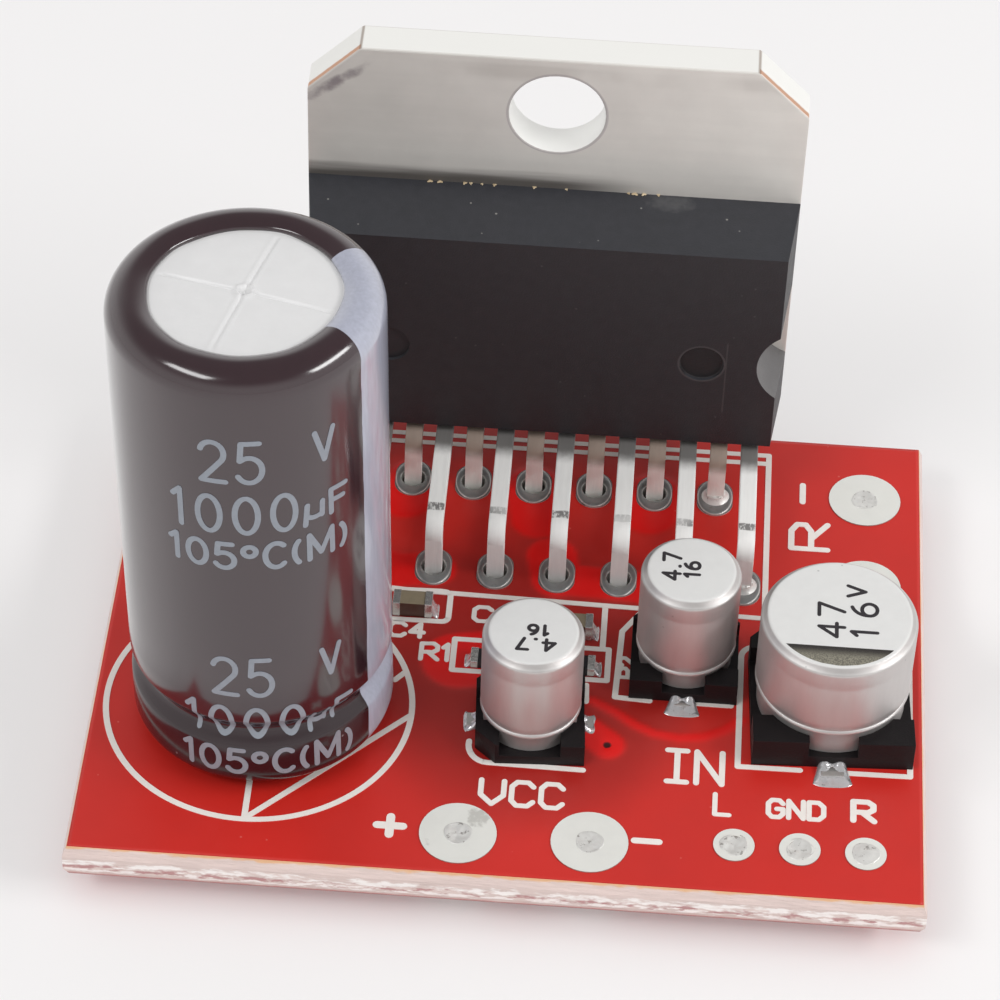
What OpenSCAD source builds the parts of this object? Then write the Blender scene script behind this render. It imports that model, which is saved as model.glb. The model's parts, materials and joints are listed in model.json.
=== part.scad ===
// Audio amplifier board: a power package with a drilled tab, can capacitors, chip parts and wire pads on one board.
// X runs to the right, Y to the back and Z up. The ends of the trimmed leads below the board lie at Z = 0,
// and the middle of the outline seen from above lies at X = Y = 0.

/* [Board] */
// Width of the board, left to right
board_w = 32.8; // [31:0.1:38]
// Depth of the board, front to back
board_d = 24.9; // [24:0.1:30]
// Thickness of the laminate
board_t = 1.6; // [1:0.1:2.4]
// Width by which the snapped ridge of the scored edge stands past both faces
ridge_out = 0.18; // [0.05:0.01:0.3]
// Height of the scored slope above and below the ridge
score_h = 0.45; // [0.2:0.05:0.45]
// Thickness of a copper land above or below the laminate
land_t = 0.06; // [0.03:0.01:0.1]
// Thickness of the plating in a hole
plating_t = 0.05; // [0.03:0.01:0.1]
// Length of the trimmed leads below the board
stub_l = 1.3; // [1:0.1:3]
// Diameter of the small hole that joins the copper of both faces
via_d = 0.4; // [0.3:0.05:0.6]

/* [Wire pads] */
// Diameter of the power and loudspeaker lands
wire_land_d = 3; // [2.4:0.1:3.4]
// Diameter of the hole in a power or loudspeaker land
wire_hole_d = 1.05; // [0.8:0.05:1.4]
// Spacing of the power lands, and of the two lands of a loudspeaker
wire_pitch = 5.08; // [4.5:0.01:6]
// Distance from the power lands to the board's front edge
power_inset = 1.95; // [1.8:0.05:2.4]
// Distance from the middle of the power lands to the middle of the lead rows, to the right
power_x = 0.82; // [0:0.02:1.5]
// Distance from the loudspeaker lands to the board's side edge
speaker_inset = 2.3; // [2:0.05:2.8]
// Distance from the back loudspeaker land to the rear row of leads, to the back
speaker_y = 0.45; // [-0.5:0.05:1]
// Diameter of an input land
input_land_d = 1.6; // [1.4:0.05:2]
// Diameter of the hole in an input land
input_hole_d = 0.9; // [0.7:0.05:1]
// Spacing of the input lands
input_pitch = 2.54; // [2.3:0.01:3]
// Distance from the input lands to the board's front edge
input_inset = 2.3; // [1.8:0.05:2.6]
// Distance from the middle input land to the board's right edge
input_side = 4.75; // [4.4:0.05:6]

/* [Power package] */
// Distance from the middle of the lead rows to the middle of the board, to the right
package_x = 0.2; // [-0.5:0.05:0.5]
// Distance from the middle of the moulded body and its tab to the middle of the lead rows, to the right
body_shift = 0.2; // [-0.2:0.05:0.3]
// Distance from the rear row of leads to the board's back edge
rear_row_inset = 3.75; // [3:0.05:4.2]
// Distance from the rear row of leads to the back face of the tab
tab_reach = 4.85; // [4.6:0.05:5.4]
// Width of the tab
tab_w = 19.8; // [19:0.1:20.4]
// Height of the tab above the bottom of the moulded body
tab_h = 17.1; // [16.5:0.1:18.5]
// Thickness of the tab
tab_t = 1.5; // [1.2:0.05:1.8]
// Height of the cut at the tab's upper corners
tab_cut = 2.1; // [1:0.1:3]
// Height of the tab's lower edge above the bottom of the moulded body
tab_foot = 1.2; // [0.6:0.1:2]
// Diameter of the bolt hole in the tab
tab_hole_d = 3.8; // [3.2:0.05:4]
// Distance from the middle of the bolt hole to the tab's upper edge
tab_hole_drop = 2.7; // [2.4:0.05:3.2]
// Height of the moulded body beside the tab
body_h = 10.6; // [9.6:0.1:11.2]
// Depth from the tab's back face to the front of the moulded body
body_d = 4.6; // [4.2:0.05:5]
// Fall of the body's upper face from the tab to the front
body_fall = 0.4; // [0.1:0.05:0.8]
// Inward slope of the body's sides from the tab to the front
body_draft = 0.4; // [0.1:0.05:0.8]
// Height of the moulded body above the board
body_lift = 3; // [2.6:0.05:4]
// Radius of the round notch in each side of the body
notch_r = 2; // [1.6:0.05:2.4]
// Depth of the side notch
notch_depth = 0.85; // [0.5:0.05:1.2]
// Height of the side notches and the front marks above the bottom of the body
mark_z = 4.4; // [3.5:0.05:6]
// Diameter of the round mark in the front of the body
mark_d = 1.8; // [1.2:0.1:2.2]
// Depth of the round mark
mark_depth = 0.15; // [0.05:0.05:0.4]
// Distance of a round mark from the middle of the body
mark_x = 6.4; // [5:0.1:7]

/* [Package leads] */
// Width of a lead
lead_w = 0.7; // [0.6:0.02:0.76]
// Thickness of a lead
lead_t = 0.5; // [0.4:0.02:0.54]
// Spacing of neighbouring leads along the body
lead_pitch = 1.27; // [1.2:0.01:1.3]
// Distance between the front and the rear row
row_gap = 5.08; // [4.6:0.02:5.6]
// Distance from the tab's back face to the leads where they leave the body
lead_exit = 2.5; // [2.2:0.05:2.9]
// Bend radius of the leads at their middle line
lead_bend_r = 0.6; // [0.5:0.02:0.7]
// Diameter of a lead's plated hole
lead_hole_d = 0.96; // [0.94:0.01:1.1]
// Width of a lead's land, left to right
lead_land_d = 1.5; // [1.4:0.02:1.7]
// Length of a lead's land, front to back
lead_land_l = 2.1; // [1.72:0.02:2.4]

/* [Tall capacitor] */
// Diameter of the can
main_cap_d = 10; // [9:0.1:10.4]
// Length of the can
main_cap_l = 20.9; // [16:0.1:26]
// Height of the can's foot above the board
main_cap_lift = 0.5; // [0.4:0.05:1.5]
// Lean of the can to the right, in degrees
main_cap_lean_x = -1; // [-2:0.1:2]
// Lean of the can to the back, in degrees
main_cap_lean_y = 1.6; // [-2:0.1:2]
// Thickness of the plastic sleeve
sleeve_t = 0.12; // [0.08:0.01:0.25]
// Diameter of the bare disc in the top of the sleeve
vent_d = 7.1; // [6:0.1:7.8]
// Depth of the bare disc below the can's rim
vent_sink = 0.22; // [0.05:0.01:0.4]
// Width of a score line in the vent
score_w = 0.24; // [0.1:0.02:0.4]
// Depth of a score line in the vent
score_depth = 0.12; // [0.05:0.01:0.2]
// Turn of the vent's score lines about the can's axis, in degrees
score_turn = -14.5; // [-45:0.5:45]
// Radius of the can's upper shoulder
shoulder_r = 0.9; // [0.5:0.05:1]
// Radius of the can's lower edge
foot_r = 0.7; // [0.4:0.05:1]
// Height of the pressed-in neck above the foot
neck_z = 2.9; // [2.6:0.05:4]
// Height of the pressed-in neck
neck_h = 1.7; // [1.2:0.05:2]
// Depth of the pressed-in neck
neck_depth = 0.4; // [0.1:0.02:0.6]
// Diameter of the rubber seal
bung_d = 8; // [7:0.1:8.2]
// Thickness of the rubber seal
bung_h = 1.8; // [1.2:0.1:2.4]
// Spacing of the leads
main_cap_pitch = 5; // [4.5:0.1:5.4]
// Diameter of a lead
main_cap_lead_d = 0.6; // [0.5:0.02:0.7]
// Diameter of a lead's plated hole
main_cap_hole_d = 0.9; // [0.8:0.02:1]
// Diameter of a lead's land
main_cap_land_d = 1.8; // [1.5:0.1:2.4]
// Distance from the can's axis to the board's left edge
main_cap_inset = 6.7; // [6.2:0.05:7]
// Distance from the can's axis to the rear row of leads, to the front
main_cap_y = 13; // [12.5:0.05:13.5]

/* [Small cans] */
// Diameter of the front and the middle can
small_can_d = 4; // [3.6:0.05:4.2]
// Height of the rolled edge of the front and the middle can above the board
small_ring_z = 1.3; // [1.3:0.02:1.6]
// Width of the seat of the front and the middle can
small_base_w = 4.3; // [4.2:0.05:4.4]
// Height of the seat of the front and the middle can
small_base_h = 1.12; // [0.9:0.02:1.14]
// Diameter of the right can
large_can_d = 6.15; // [5.8:0.05:6.3]
// Height of the rolled edge of the right can above the board
large_ring_z = 1.75; // [1.7:0.02:2]
// Width of the seat of the right can
large_base_w = 6.35; // [6.3:0.05:6.6]
// Height of the seat of the right can
large_base_h = 1.42; // [1.2:0.02:1.5]
// Height of a can's top above the board
can_top = 5.4; // [4.8:0.05:6.5]
// Radius of a can's upper shoulder
can_shoulder_r = 0.4; // [0.2:0.02:0.6]
// Width by which a can draws in below its rolled edge
can_neck_in = 0.14; // [0.1:0.01:0.15]
// Share of a seat's height that lies under its can
floor_share = 0.43; // [0.35:0.01:0.55]
// Share of a seat's width that is open at each side without a terminal
opening_share = 0.56; // [0.4:0.02:0.64]
// Width by which the opening over a terminal stands past it at each side
notch_side = 0.52; // [0.3:0.02:0.6]
// Cut of a seat's two corners at the plus side
base_cut = 0.8; // [0.4:0.05:1]
// Clearance around a can in its seat
base_gap = 0.02; // [0.01:0.01:0.05]
// Width of a terminal of the front and the middle can
small_terminal_w = 0.65; // [0.5:0.05:0.8]
// Width of a terminal of the right can
large_terminal_w = 0.9; // [0.6:0.05:1.1]
// Thickness of a terminal
terminal_t = 0.2; // [0.1:0.02:0.3]
// Length by which a terminal of the front and the middle can stands out of its seat
small_terminal_out = 0.36; // [0.2:0.02:0.5]
// Length by which a terminal of the right can stands out of its seat
large_terminal_out = 0.6; // [0.3:0.02:0.7]
// Distance of the front can from the middle of the lead rows, to the right
front_can_x = 0.68; // [0.4:0.02:1]
// Distance of the front can from the rear row of leads, to the front
front_can_y = 13.3; // [13.2:0.05:13.8]
// Distance of the middle can from the middle of the lead rows, to the right
middle_can_x = 6.66; // [6.4:0.02:6.8]
// Distance of the middle can from the rear row of leads, to the front
middle_can_y = 9.45; // [9.1:0.05:9.6]
// Distance of the right can from the middle of the lead rows, to the right
right_can_x = 12.5; // [12.4:0.02:12.8]
// Distance of the right can from the rear row of leads, to the front
right_can_y = 11.35; // [11:0.05:11.8]
// Turn of the front can about its axis, in degrees
front_can_turn = 3; // [-4:0.2:4]
// Turn of the right can about its axis, in degrees
right_can_turn = 2.6; // [-4:0.2:4]

/* [Chip parts] */
// Length of a chip
chip_l = 1.6; // [1.4:0.02:1.8]
// Width of a chip
chip_w = 0.8; // [0.6:0.02:0.9]
// Height of a ceramic chip capacitor
ceramic_h = 0.8; // [0.5:0.05:0.9]
// Height of a chip resistor
resistor_h = 0.45; // [0.35:0.01:0.6]
// Length of a chip's plated end
chip_end_l = 0.3; // [0.2:0.02:0.4]
// Thickness of a chip's plated end
chip_end_t = 0.03; // [0.02:0.01:0.05]
// Distance of the left ceramic chip from the middle of the lead rows, to the left
left_ceramic_x = 4.45; // [4.3:0.05:4.7]
// Distance of the left ceramic chip from the front row of leads, to the front
left_ceramic_y = 2.5; // [2.3:0.05:2.7]
// Distance of the right ceramic chip from the middle of the lead rows, to the right
right_ceramic_x = 2.1; // [1.9:0.05:2.3]
// Distance of the right ceramic chip from the front row of leads, to the front
right_ceramic_y = 3.15; // [2.9:0.05:3.3]
// Distance between the middles of the two resistors
resistor_pitch = 3.4; // [3.2:0.02:3.6]
// Distance between the pair of resistors and the middle of the lead rows, to the right
resistor_x = 0.6; // [0.4:0.05:0.8]
// Distance of the resistors from the front row of leads, to the front
resistor_y = 5.1; // [4.95:0.05:5.3]

/* [Solder] */
// Height of a joint below the board
joint_h = 0.85; // [0.5:0.05:0.95]
// Width of a joint's solder around its lead at the lower end
joint_rim = 0.12; // [0.05:0.01:0.2]
// Height to which solder climbs in a lead's hole, from the underside
joint_climb = 0.9; // [0.5:0.05:1]
// Height of the solder dome on the two joints that filled to the upper face
joint_dome = 0.3; // [0.1:0.02:0.4]
// Depth of the hollow in the solder that fills a wire pad
plug_hollow = 0.12; // [0.05:0.01:0.2]
// Height of the solder bead under a wire pad
plug_bead = 0.4; // [0.2:0.05:0.8]
// Length of a fillet on the board
fillet_l = 0.4; // [0.2:0.02:0.5]
// Height of a fillet at a can's terminal
fillet_h = 0.42; // [0.3:0.02:0.6]
// Width by which a fillet stands past its terminal at each side
fillet_side = 0.28; // [0.1:0.02:0.3]

/* [Hidden] */
$fn = 64;
// Overshoot of a cut past the face that it leaves
past = 0.5;
// Steps in a quarter arc of a turned outline
arc_steps = 8;
// Steps in the neck of the tall can
neck_steps = 12;
// Middle of the board, front to back, which keeps the whole outline centred
tab_overhang = tab_reach - rear_row_inset;
board_y = -max(tab_overhang - ridge_out, 0) / 2;
board_top = stub_l + board_t;
front_edge = board_y - board_d / 2;
back_edge = board_y + board_d / 2;
// Rows of the package's leads
lead_count = 15;
lead_mid = (lead_count - 1) / 2;
rear_row = back_edge - rear_row_inset;
front_row = rear_row - row_gap;
// Leads whose solder filled the hole up to the upper face
filled_leads = [13, 14];
// Package levels
tab_back = rear_row + tab_reach;
body_z = board_top + body_lift;
body_x = package_x + body_shift;
body_front_w = tab_w - 2 * body_draft;
lead_plane = tab_back - lead_exit;
lead_run_z = body_z - lead_bend_r;
// Drilled holes in the laminate are as wide as the plating that lines them
lead_drill_d = lead_hole_d + 2 * plating_t;
main_cap_drill_d = main_cap_hole_d + 2 * plating_t;
wire_drill_d = wire_hole_d + 2 * plating_t;
input_drill_d = input_hole_d + 2 * plating_t;
// Places of the plated holes and of the parts, seen from above
power_plus_at = [package_x + power_x - wire_pitch / 2, front_edge + power_inset];
power_minus_at = [package_x + power_x + wire_pitch / 2, front_edge + power_inset];
input_ground_at = [board_w / 2 - input_side, front_edge + input_inset];
input_left_at = input_ground_at - [input_pitch, 0];
input_right_at = input_ground_at + [input_pitch, 0];
right_minus_at = [board_w / 2 - speaker_inset, rear_row + speaker_y];
right_plus_at = right_minus_at - [0, wire_pitch];
left_minus_at = [-right_minus_at.x, right_minus_at.y];
left_plus_at = [-right_plus_at.x, right_plus_at.y];
wire_pads = [power_plus_at, power_minus_at, right_minus_at, right_plus_at, left_minus_at, left_plus_at];
input_pads = [input_left_at, input_ground_at, input_right_at];
main_cap_at = [main_cap_inset - board_w / 2, rear_row - main_cap_y];
main_cap_plus_at = main_cap_at - [main_cap_pitch / 2, 0];
main_cap_minus_at = main_cap_at + [main_cap_pitch / 2, 0];
main_cap_foot = board_top + main_cap_lift;
main_cap_lead_top = main_cap_foot + bung_h / 2;
vent_z = main_cap_l - vent_sink;
front_can_at = [package_x + front_can_x, rear_row - front_can_y];
middle_can_at = [package_x + middle_can_x, rear_row - middle_can_y];
right_can_at = [package_x + right_can_x, rear_row - right_can_y];
left_ceramic_at = [package_x - left_ceramic_x, front_row - left_ceramic_y];
right_ceramic_at = [package_x + right_ceramic_x, front_row - right_ceramic_y];
left_resistor_at = [package_x + resistor_x - resistor_pitch / 2, front_row - resistor_y];
right_resistor_at = left_resistor_at + [resistor_pitch, 0];
// Gap between the front can's seat and the small hole beside its right terminal
via_gap = 0.95;
via_at = front_can_at + [small_base_w / 2 + via_gap, -via_gap];
// Turn of a can whose plus side faces the back
plus_back = -90;
// Sizes of one kind of small can: diameter, rolled edge, seat width and height, terminal width and length
small_kind = [small_can_d, small_ring_z, small_base_w, small_base_h, small_terminal_w, small_terminal_out];
large_kind = [large_can_d, large_ring_z, large_base_w, large_base_h, large_terminal_w, large_terminal_out];

// Place of a package lead's hole, counted from the left: odd counts stand in the front row
function lead_at(i) = [package_x + (i - lead_mid) * lead_pitch, i % 2 == 0 ? front_row : rear_row];
function lead_name(i) = str("lead_", i < 9 ? "0" : "", i + 1);
// Points of an arc in a turned outline, as radius and height
function arc(middle, r, from, to) =
    [for (k = [0:arc_steps]) let (a = from + (to - from) * k / arc_steps) middle + r * [cos(a), sin(a)]];
// Outer line of the tall can from its foot to the edge of its vent, grown outwards by the given amount
function main_cap_line(grow) =
    let (r = main_cap_d / 2)
    concat(
        arc([r - foot_r, foot_r], foot_r + grow, -90, 0),
        [for (k = [1:neck_steps - 1])
            [r + grow - neck_depth * (1 - cos(360 * k / neck_steps)) / 2, neck_z + neck_h * (k / neck_steps - 0.5)]],
        arc([r - shoulder_r, main_cap_l - shoulder_r], shoulder_r + grow, 0, 90),
        [[vent_d / 2, vent_z + grow]]
    );
function reversed(list) = [for (k = [len(list) - 1:-1:0]) list[k]];

// Flat land with round ends, as long as it is wide unless a length is given
module land(d, l) {
    if (l > d) {
        for (side = [-1, 1]) translate([0, side * (l - d) / 2, 0]) cylinder(d = d, h = land_t);
        translate([-d / 2, (d - l) / 2, 0]) cube([d, l - d, land_t]);
    } else cylinder(d = d, h = land_t);
}

// A plated hole through the board: barrel and two lands
module eyelet(place, land_d, hole_d, land_l = 0) {
    translate([place.x, place.y, stub_l])
        difference() {
            union() {
                translate([0, 0, -land_t]) land(land_d, land_l);
                cylinder(d = hole_d + 2 * plating_t, h = board_t);
                translate([0, 0, board_t]) land(land_d, land_l);
            }
            translate([0, 0, -past]) cylinder(d = hole_d, h = board_t + 2 * past);
        }
}

module drill(place, d) {
    translate([place.x, place.y, stub_l - past]) cylinder(d = d, h = board_t + 2 * past);
}

// Cross-section of the laminate between two edges of its faces, with a snapped ridge at both ends
module scored_side(from, to) {
    polygon([
        [from, stub_l], [to, stub_l], [to + ridge_out, stub_l + score_h], [to + ridge_out, board_top - score_h],
        [to, board_top], [from, board_top], [from - ridge_out, board_top - score_h],
        [from - ridge_out, stub_l + score_h]
    ]);
}

// Laminate before drilling: the same cross-section from side to side and from front to back
module laminate() {
    intersection() {
        translate([0, back_edge + past, 0])
            rotate([90, 0, 0]) linear_extrude(board_d + 2 * past) scored_side(-board_w / 2, board_w / 2);
        translate([-board_w / 2 - past, 0, 0])
            rotate([90, 0, 90]) linear_extrude(board_w + 2 * past) scored_side(front_edge, back_edge);
    }
}

module circuit_board() {
    color([0.74, 0.13, 0.12])
        difference() {
            laminate();
            for (i = [0:lead_count - 1]) drill(lead_at(i), lead_drill_d);
            for (place = wire_pads) drill(place, wire_drill_d);
            for (place = input_pads) drill(place, input_drill_d);
            for (place = [main_cap_plus_at, main_cap_minus_at]) drill(place, main_cap_drill_d);
            drill(via_at, via_d);
        }
}

module lead_eyelets() {
    color([0.45, 0.46, 0.46])
        for (i = [0:lead_count - 1]) eyelet(lead_at(i), lead_land_d, lead_hole_d, lead_land_l);
}

module main_cap_eyelets() {
    color([0.82, 0.82, 0.8])
        for (place = [main_cap_plus_at, main_cap_minus_at]) eyelet(place, main_cap_land_d, main_cap_hole_d);
}

module wire_pad(place) {
    color([0.85, 0.85, 0.83]) eyelet(place, wire_land_d, wire_hole_d);
}

module input_pad(place) {
    color([0.85, 0.85, 0.83]) eyelet(place, input_land_d, input_hole_d);
}

// Plate of the tab seen from the front, with its cut upper corners
module tab_face() {
    half = tab_w / 2;
    polygon([
        [-half, tab_foot], [half, tab_foot], [half, tab_h - tab_cut], [half - tab_cut, tab_h],
        [tab_cut - half, tab_h], [-half, tab_h - tab_cut]
    ]);
}

module heat_tab() {
    color([0.69, 0.67, 0.65])
        translate([body_x, tab_back, body_z])
            rotate([90, 0, 0])
                difference() {
                    linear_extrude(tab_t) tab_face();
                    translate([0, tab_h - tab_hole_drop, -past]) cylinder(d = tab_hole_d, h = tab_t + 2 * past);
                }
}

// Moulded block: its plan narrows and its upper face falls towards the front, and the tab lies in its back
module package_body() {
    back_w = tab_w / 2;
    front_w = body_front_w / 2;
    color([0.13, 0.12, 0.13])
        translate([body_x, tab_back, body_z])
            difference() {
                intersection() {
                    linear_extrude(body_h)
                        polygon([[-back_w, 0], [back_w, 0], [back_w, -tab_t], [front_w, -body_d],
                                 [-front_w, -body_d], [-back_w, -tab_t]]);
                    rotate([90, 0, 90])
                        translate([0, 0, -tab_w])
                            linear_extrude(2 * tab_w)
                                polygon([[0, 0], [0, body_h], [-tab_t, body_h], [-body_d, body_h - body_fall],
                                         [-body_d, 0]]);
                }
                translate([-tab_w, -tab_t, tab_foot]) cube([2 * tab_w, tab_t + past, body_h]);
                for (side = [-1, 1]) {
                    translate([side * (front_w + notch_r - notch_depth), -tab_t, mark_z])
                        rotate([90, 0, 0]) cylinder(r = notch_r, h = body_d);
                    translate([side * mark_x, mark_depth - body_d, mark_z])
                        rotate([90, 0, 0]) cylinder(d = mark_d, h = mark_depth + past);
                }
            }
}

// Quarter ring of the lead's side view, between two of its straight runs
module lead_bend(middle, quarter) {
    span = lead_bend_r + lead_t;
    translate(middle)
        intersection() {
            difference() {
                circle(r = lead_bend_r + lead_t / 2);
                circle(r = lead_bend_r - lead_t / 2);
            }
            translate([min(quarter.x, 0) * span, min(quarter.y, 0) * span]) square(span);
        }
}

// Side view of a lead that leaves the body downwards, runs forwards under it and turns down at the given row
module lead_side(row) {
    half = lead_t / 2;
    run_from = row + lead_bend_r;
    run_to = lead_plane - lead_bend_r;
    lead_bend([run_to, body_z], [1, -1]);
    translate([run_from, lead_run_z - half]) square([run_to - run_from, lead_t]);
    lead_bend([run_from, lead_run_z - lead_bend_r], [-1, 1]);
    translate([row - half, 0]) square([lead_t, lead_run_z - lead_bend_r]);
}

module package_lead(i) {
    place = lead_at(i);
    color([0.8, 0.78, 0.75])
        translate([place.x - lead_w / 2, 0, 0])
            rotate([90, 0, 90]) linear_extrude(lead_w) lead_side(place.y);
}

// Stands a shape on the foot of the tall can, with the can's lean
module on_main_cap() {
    translate([main_cap_at.x, main_cap_at.y, main_cap_foot])
        rotate([-main_cap_lean_y, main_cap_lean_x, 0]) children();
}

module main_cap_can() {
    color([0.86, 0.86, 0.86])
        on_main_cap()
            difference() {
                rotate_extrude() polygon(concat([[0, 0]], main_cap_line(0), [[0, vent_z]]));
                translate([0, 0, -past]) cylinder(d = bung_d, h = bung_h + past);
                for (turn = [score_turn, score_turn + 90])
                    translate([0, 0, vent_z])
                        rotate([0, 0, turn]) cube([vent_d, score_w, 2 * score_depth], center = true);
            }
}

module main_cap_sleeve() {
    color([0.24, 0.2, 0.22])
        on_main_cap() rotate_extrude() polygon(concat(main_cap_line(sleeve_t), reversed(main_cap_line(0))));
}

module main_cap_bung() {
    color([0.1, 0.1, 0.1])
        difference() {
            on_main_cap() cylinder(d = bung_d, h = bung_h);
            for (place = [main_cap_plus_at, main_cap_minus_at]) upright_lead(place);
        }
}

// Round lead from the board's underside into the rubber seal
module upright_lead(place) {
    translate([place.x, place.y, 0]) cylinder(d = main_cap_lead_d, h = main_cap_lead_top);
}

module main_cap_lead(place) {
    color([0.8, 0.8, 0.78]) upright_lead(place);
}

// Small can: a drawn-in foot in its seat, a rolled edge, a straight side and a round shoulder
module small_can(place, kind) {
    r = kind[0] / 2;
    foot = r - can_neck_in;
    foot_z = floor_share * kind[3];
    color([0.85, 0.85, 0.86])
        translate([place.x, place.y, board_top])
            rotate_extrude()
                polygon(concat(
                    [[0, foot_z], [foot, foot_z], [foot, kind[1] - can_neck_in], [r, kind[1]]],
                    arc([r - can_shoulder_r, can_top - can_shoulder_r], can_shoulder_r, 0, 90),
                    [[0, can_top]]
                ));
}

// Seat of a small can, its plus side to the left, turned in place: a floor with four posts around the can's foot
module can_base(place, turn, kind) {
    half = kind[2] / 2;
    foot_z = floor_share * kind[3];
    slot_w = kind[4] + 2 * base_gap;
    notch_w = kind[4] + 2 * notch_side;
    open_w = opening_share * kind[2];
    color([0.12, 0.11, 0.12])
        translate([place.x, place.y, board_top])
            rotate([0, 0, turn])
                difference() {
                    linear_extrude(kind[3])
                        polygon([[half, -half], [half, half], [base_cut - half, half], [-half, half - base_cut],
                                 [-half, base_cut - half], [base_cut - half, -half]]);
                    translate([0, 0, foot_z]) cylinder(d = kind[0] - 2 * can_neck_in + 2 * base_gap, h = kind[3]);
                    for (side = [0, 180])
                        rotate([0, 0, side]) {
                            translate([half / 2, -slot_w / 2, -past]) cube([half, slot_w, terminal_t + past]);
                            translate([half / 2, -notch_w / 2, foot_z]) cube([half, notch_w, kind[3]]);
                            translate([-open_w / 2, half / 2, foot_z]) cube([open_w, half, kind[3]]);
                        }
                }
}

// Flat terminal under a seat; side is 1 at the plus end and -1 at the minus end
module can_terminal(place, turn, kind, side) {
    inner = kind[2] / 4;
    color([0.8, 0.8, 0.8])
        translate([place.x, place.y, board_top])
            rotate([0, 0, turn + (side > 0 ? 180 : 0)])
                translate([inner, -kind[4] / 2, 0]) cube([inner + kind[5], kind[4], terminal_t]);
}

// Body of a chip between its plated ends
module chip_body(place, h, tint) {
    color(tint)
        translate([place.x - chip_l / 2 + chip_end_t, place.y - chip_w / 2 + chip_end_t, board_top + chip_end_t])
            cube([chip_l - 2 * chip_end_t, chip_w - 2 * chip_end_t, h - 2 * chip_end_t]);
}

// Plated ends wrapped round a chip
module chip_ends(place, h) {
    color([0.82, 0.82, 0.82])
        for (side = [-1, 1])
            translate([place.x + side * (chip_l - chip_end_l) / 2, place.y, board_top + h / 2])
                difference() {
                    cube([chip_end_l, chip_w, h], center = true);
                    translate([-side * chip_end_t, 0, 0])
                        cube([chip_end_l, chip_w - 2 * chip_end_t, h - 2 * chip_end_t], center = true);
                }
}

// Solder of one lead as a turned outline: a cone below the board, the fill in the plated hole and, where it filled
// up, a dome on the upper land
module joint(place, land_d, hole_d, lead_r, filled) {
    rim_r = lead_r + joint_rim;
    land_z = board_t + land_t;
    translate([place.x, place.y, stub_l])
        rotate_extrude()
            polygon(concat(
                [[0, -land_t - joint_h], [rim_r, -land_t - joint_h], [land_d / 2, -land_t], [hole_d / 2, -land_t]],
                filled
                    ? [[hole_d / 2, land_z], [land_d / 2, land_z],
                       [rim_r, land_z + joint_dome], [0, land_z + joint_dome]]
                    : [[hole_d / 2, joint_climb], [0, joint_climb]]
            ));
}

module underside_solder() {
    lead_r = sqrt(lead_w * lead_w + lead_t * lead_t) / 2;
    color([0.78, 0.78, 0.78]) {
        for (i = [0:lead_count - 1])
            difference() {
                joint(lead_at(i), lead_land_d, lead_hole_d, lead_r, len(search(i, filled_leads)) > 0);
                translate([lead_at(i).x - lead_w / 2, lead_at(i).y - lead_t / 2, -past]) cube([lead_w, lead_t, body_z]);
            }
        for (place = [main_cap_plus_at, main_cap_minus_at])
            difference() {
                joint(place, main_cap_land_d, main_cap_hole_d, main_cap_lead_d / 2, false);
                translate([place.x, place.y, -past]) cylinder(d = main_cap_lead_d, h = body_z);
            }
    }
}

// Solder that fills a wire pad's hole, hollow on top, with a bead below the board
module pad_plug(place, land_d, hole_d) {
    translate([place.x, place.y, stub_l]) {
        translate([0, 0, -land_t - plug_bead]) cylinder(d1 = hole_d, d2 = land_d, h = plug_bead);
        translate([0, 0, -land_t]) cylinder(d = hole_d, h = board_t + 2 * land_t - plug_hollow);
    }
}

module pad_solder() {
    color([0.75, 0.75, 0.75]) {
        for (place = wire_pads) pad_plug(place, wire_land_d, wire_hole_d);
        for (place = input_pads) pad_plug(place, input_land_d, input_hole_d);
    }
}

// Wedge of solder that climbs a face of the given width, out along X
module fillet(w, h) {
    translate([0, w / 2, 0])
        rotate([90, 0, 0]) linear_extrude(w) polygon([[0, 0], [fillet_l, 0], [fillet_l / 4, h / 3], [0, h]]);
}

// Fillets at both terminals of a small can
module can_fillets(place, turn, kind) {
    solder_w = kind[4] + 2 * fillet_side;
    for (side = [0, 180])
        translate([place.x, place.y, board_top])
            rotate([0, 0, turn + side])
                difference() {
                    translate([kind[2] / 2, 0, 0]) {
                        translate([0, -solder_w / 2, 0]) cube([kind[5], solder_w, fillet_h]);
                        translate([kind[5], 0, 0]) fillet(solder_w, fillet_h);
                    }
                    translate([0, -kind[4] / 2, -past]) cube([kind[2] / 2 + kind[5], kind[4], terminal_t + past]);
                }
}

module terminal_solder() {
    color([0.9, 0.9, 0.9]) {
        can_fillets(front_can_at, front_can_turn, small_kind);
        can_fillets(middle_can_at, plus_back, small_kind);
        can_fillets(right_can_at, plus_back + right_can_turn, large_kind);
    }
}

module chip_fillets(place, h) {
    for (side = [0, 180])
        translate([place.x, place.y, board_top])
            rotate([0, 0, side]) translate([chip_l / 2, 0, 0]) fillet(chip_w, h);
}

module chip_solder() {
    color([0.9, 0.9, 0.9]) {
        for (place = [left_ceramic_at, right_ceramic_at]) chip_fillets(place, ceramic_h);
        for (place = [left_resistor_at, right_resistor_at]) chip_fillets(place, resistor_h);
    }
}

module ceramic(place) { chip_body(place, ceramic_h, [0.5, 0.38, 0.28]); }
module resistor(place) { chip_body(place, resistor_h, [0.12, 0.12, 0.13]); }

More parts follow.
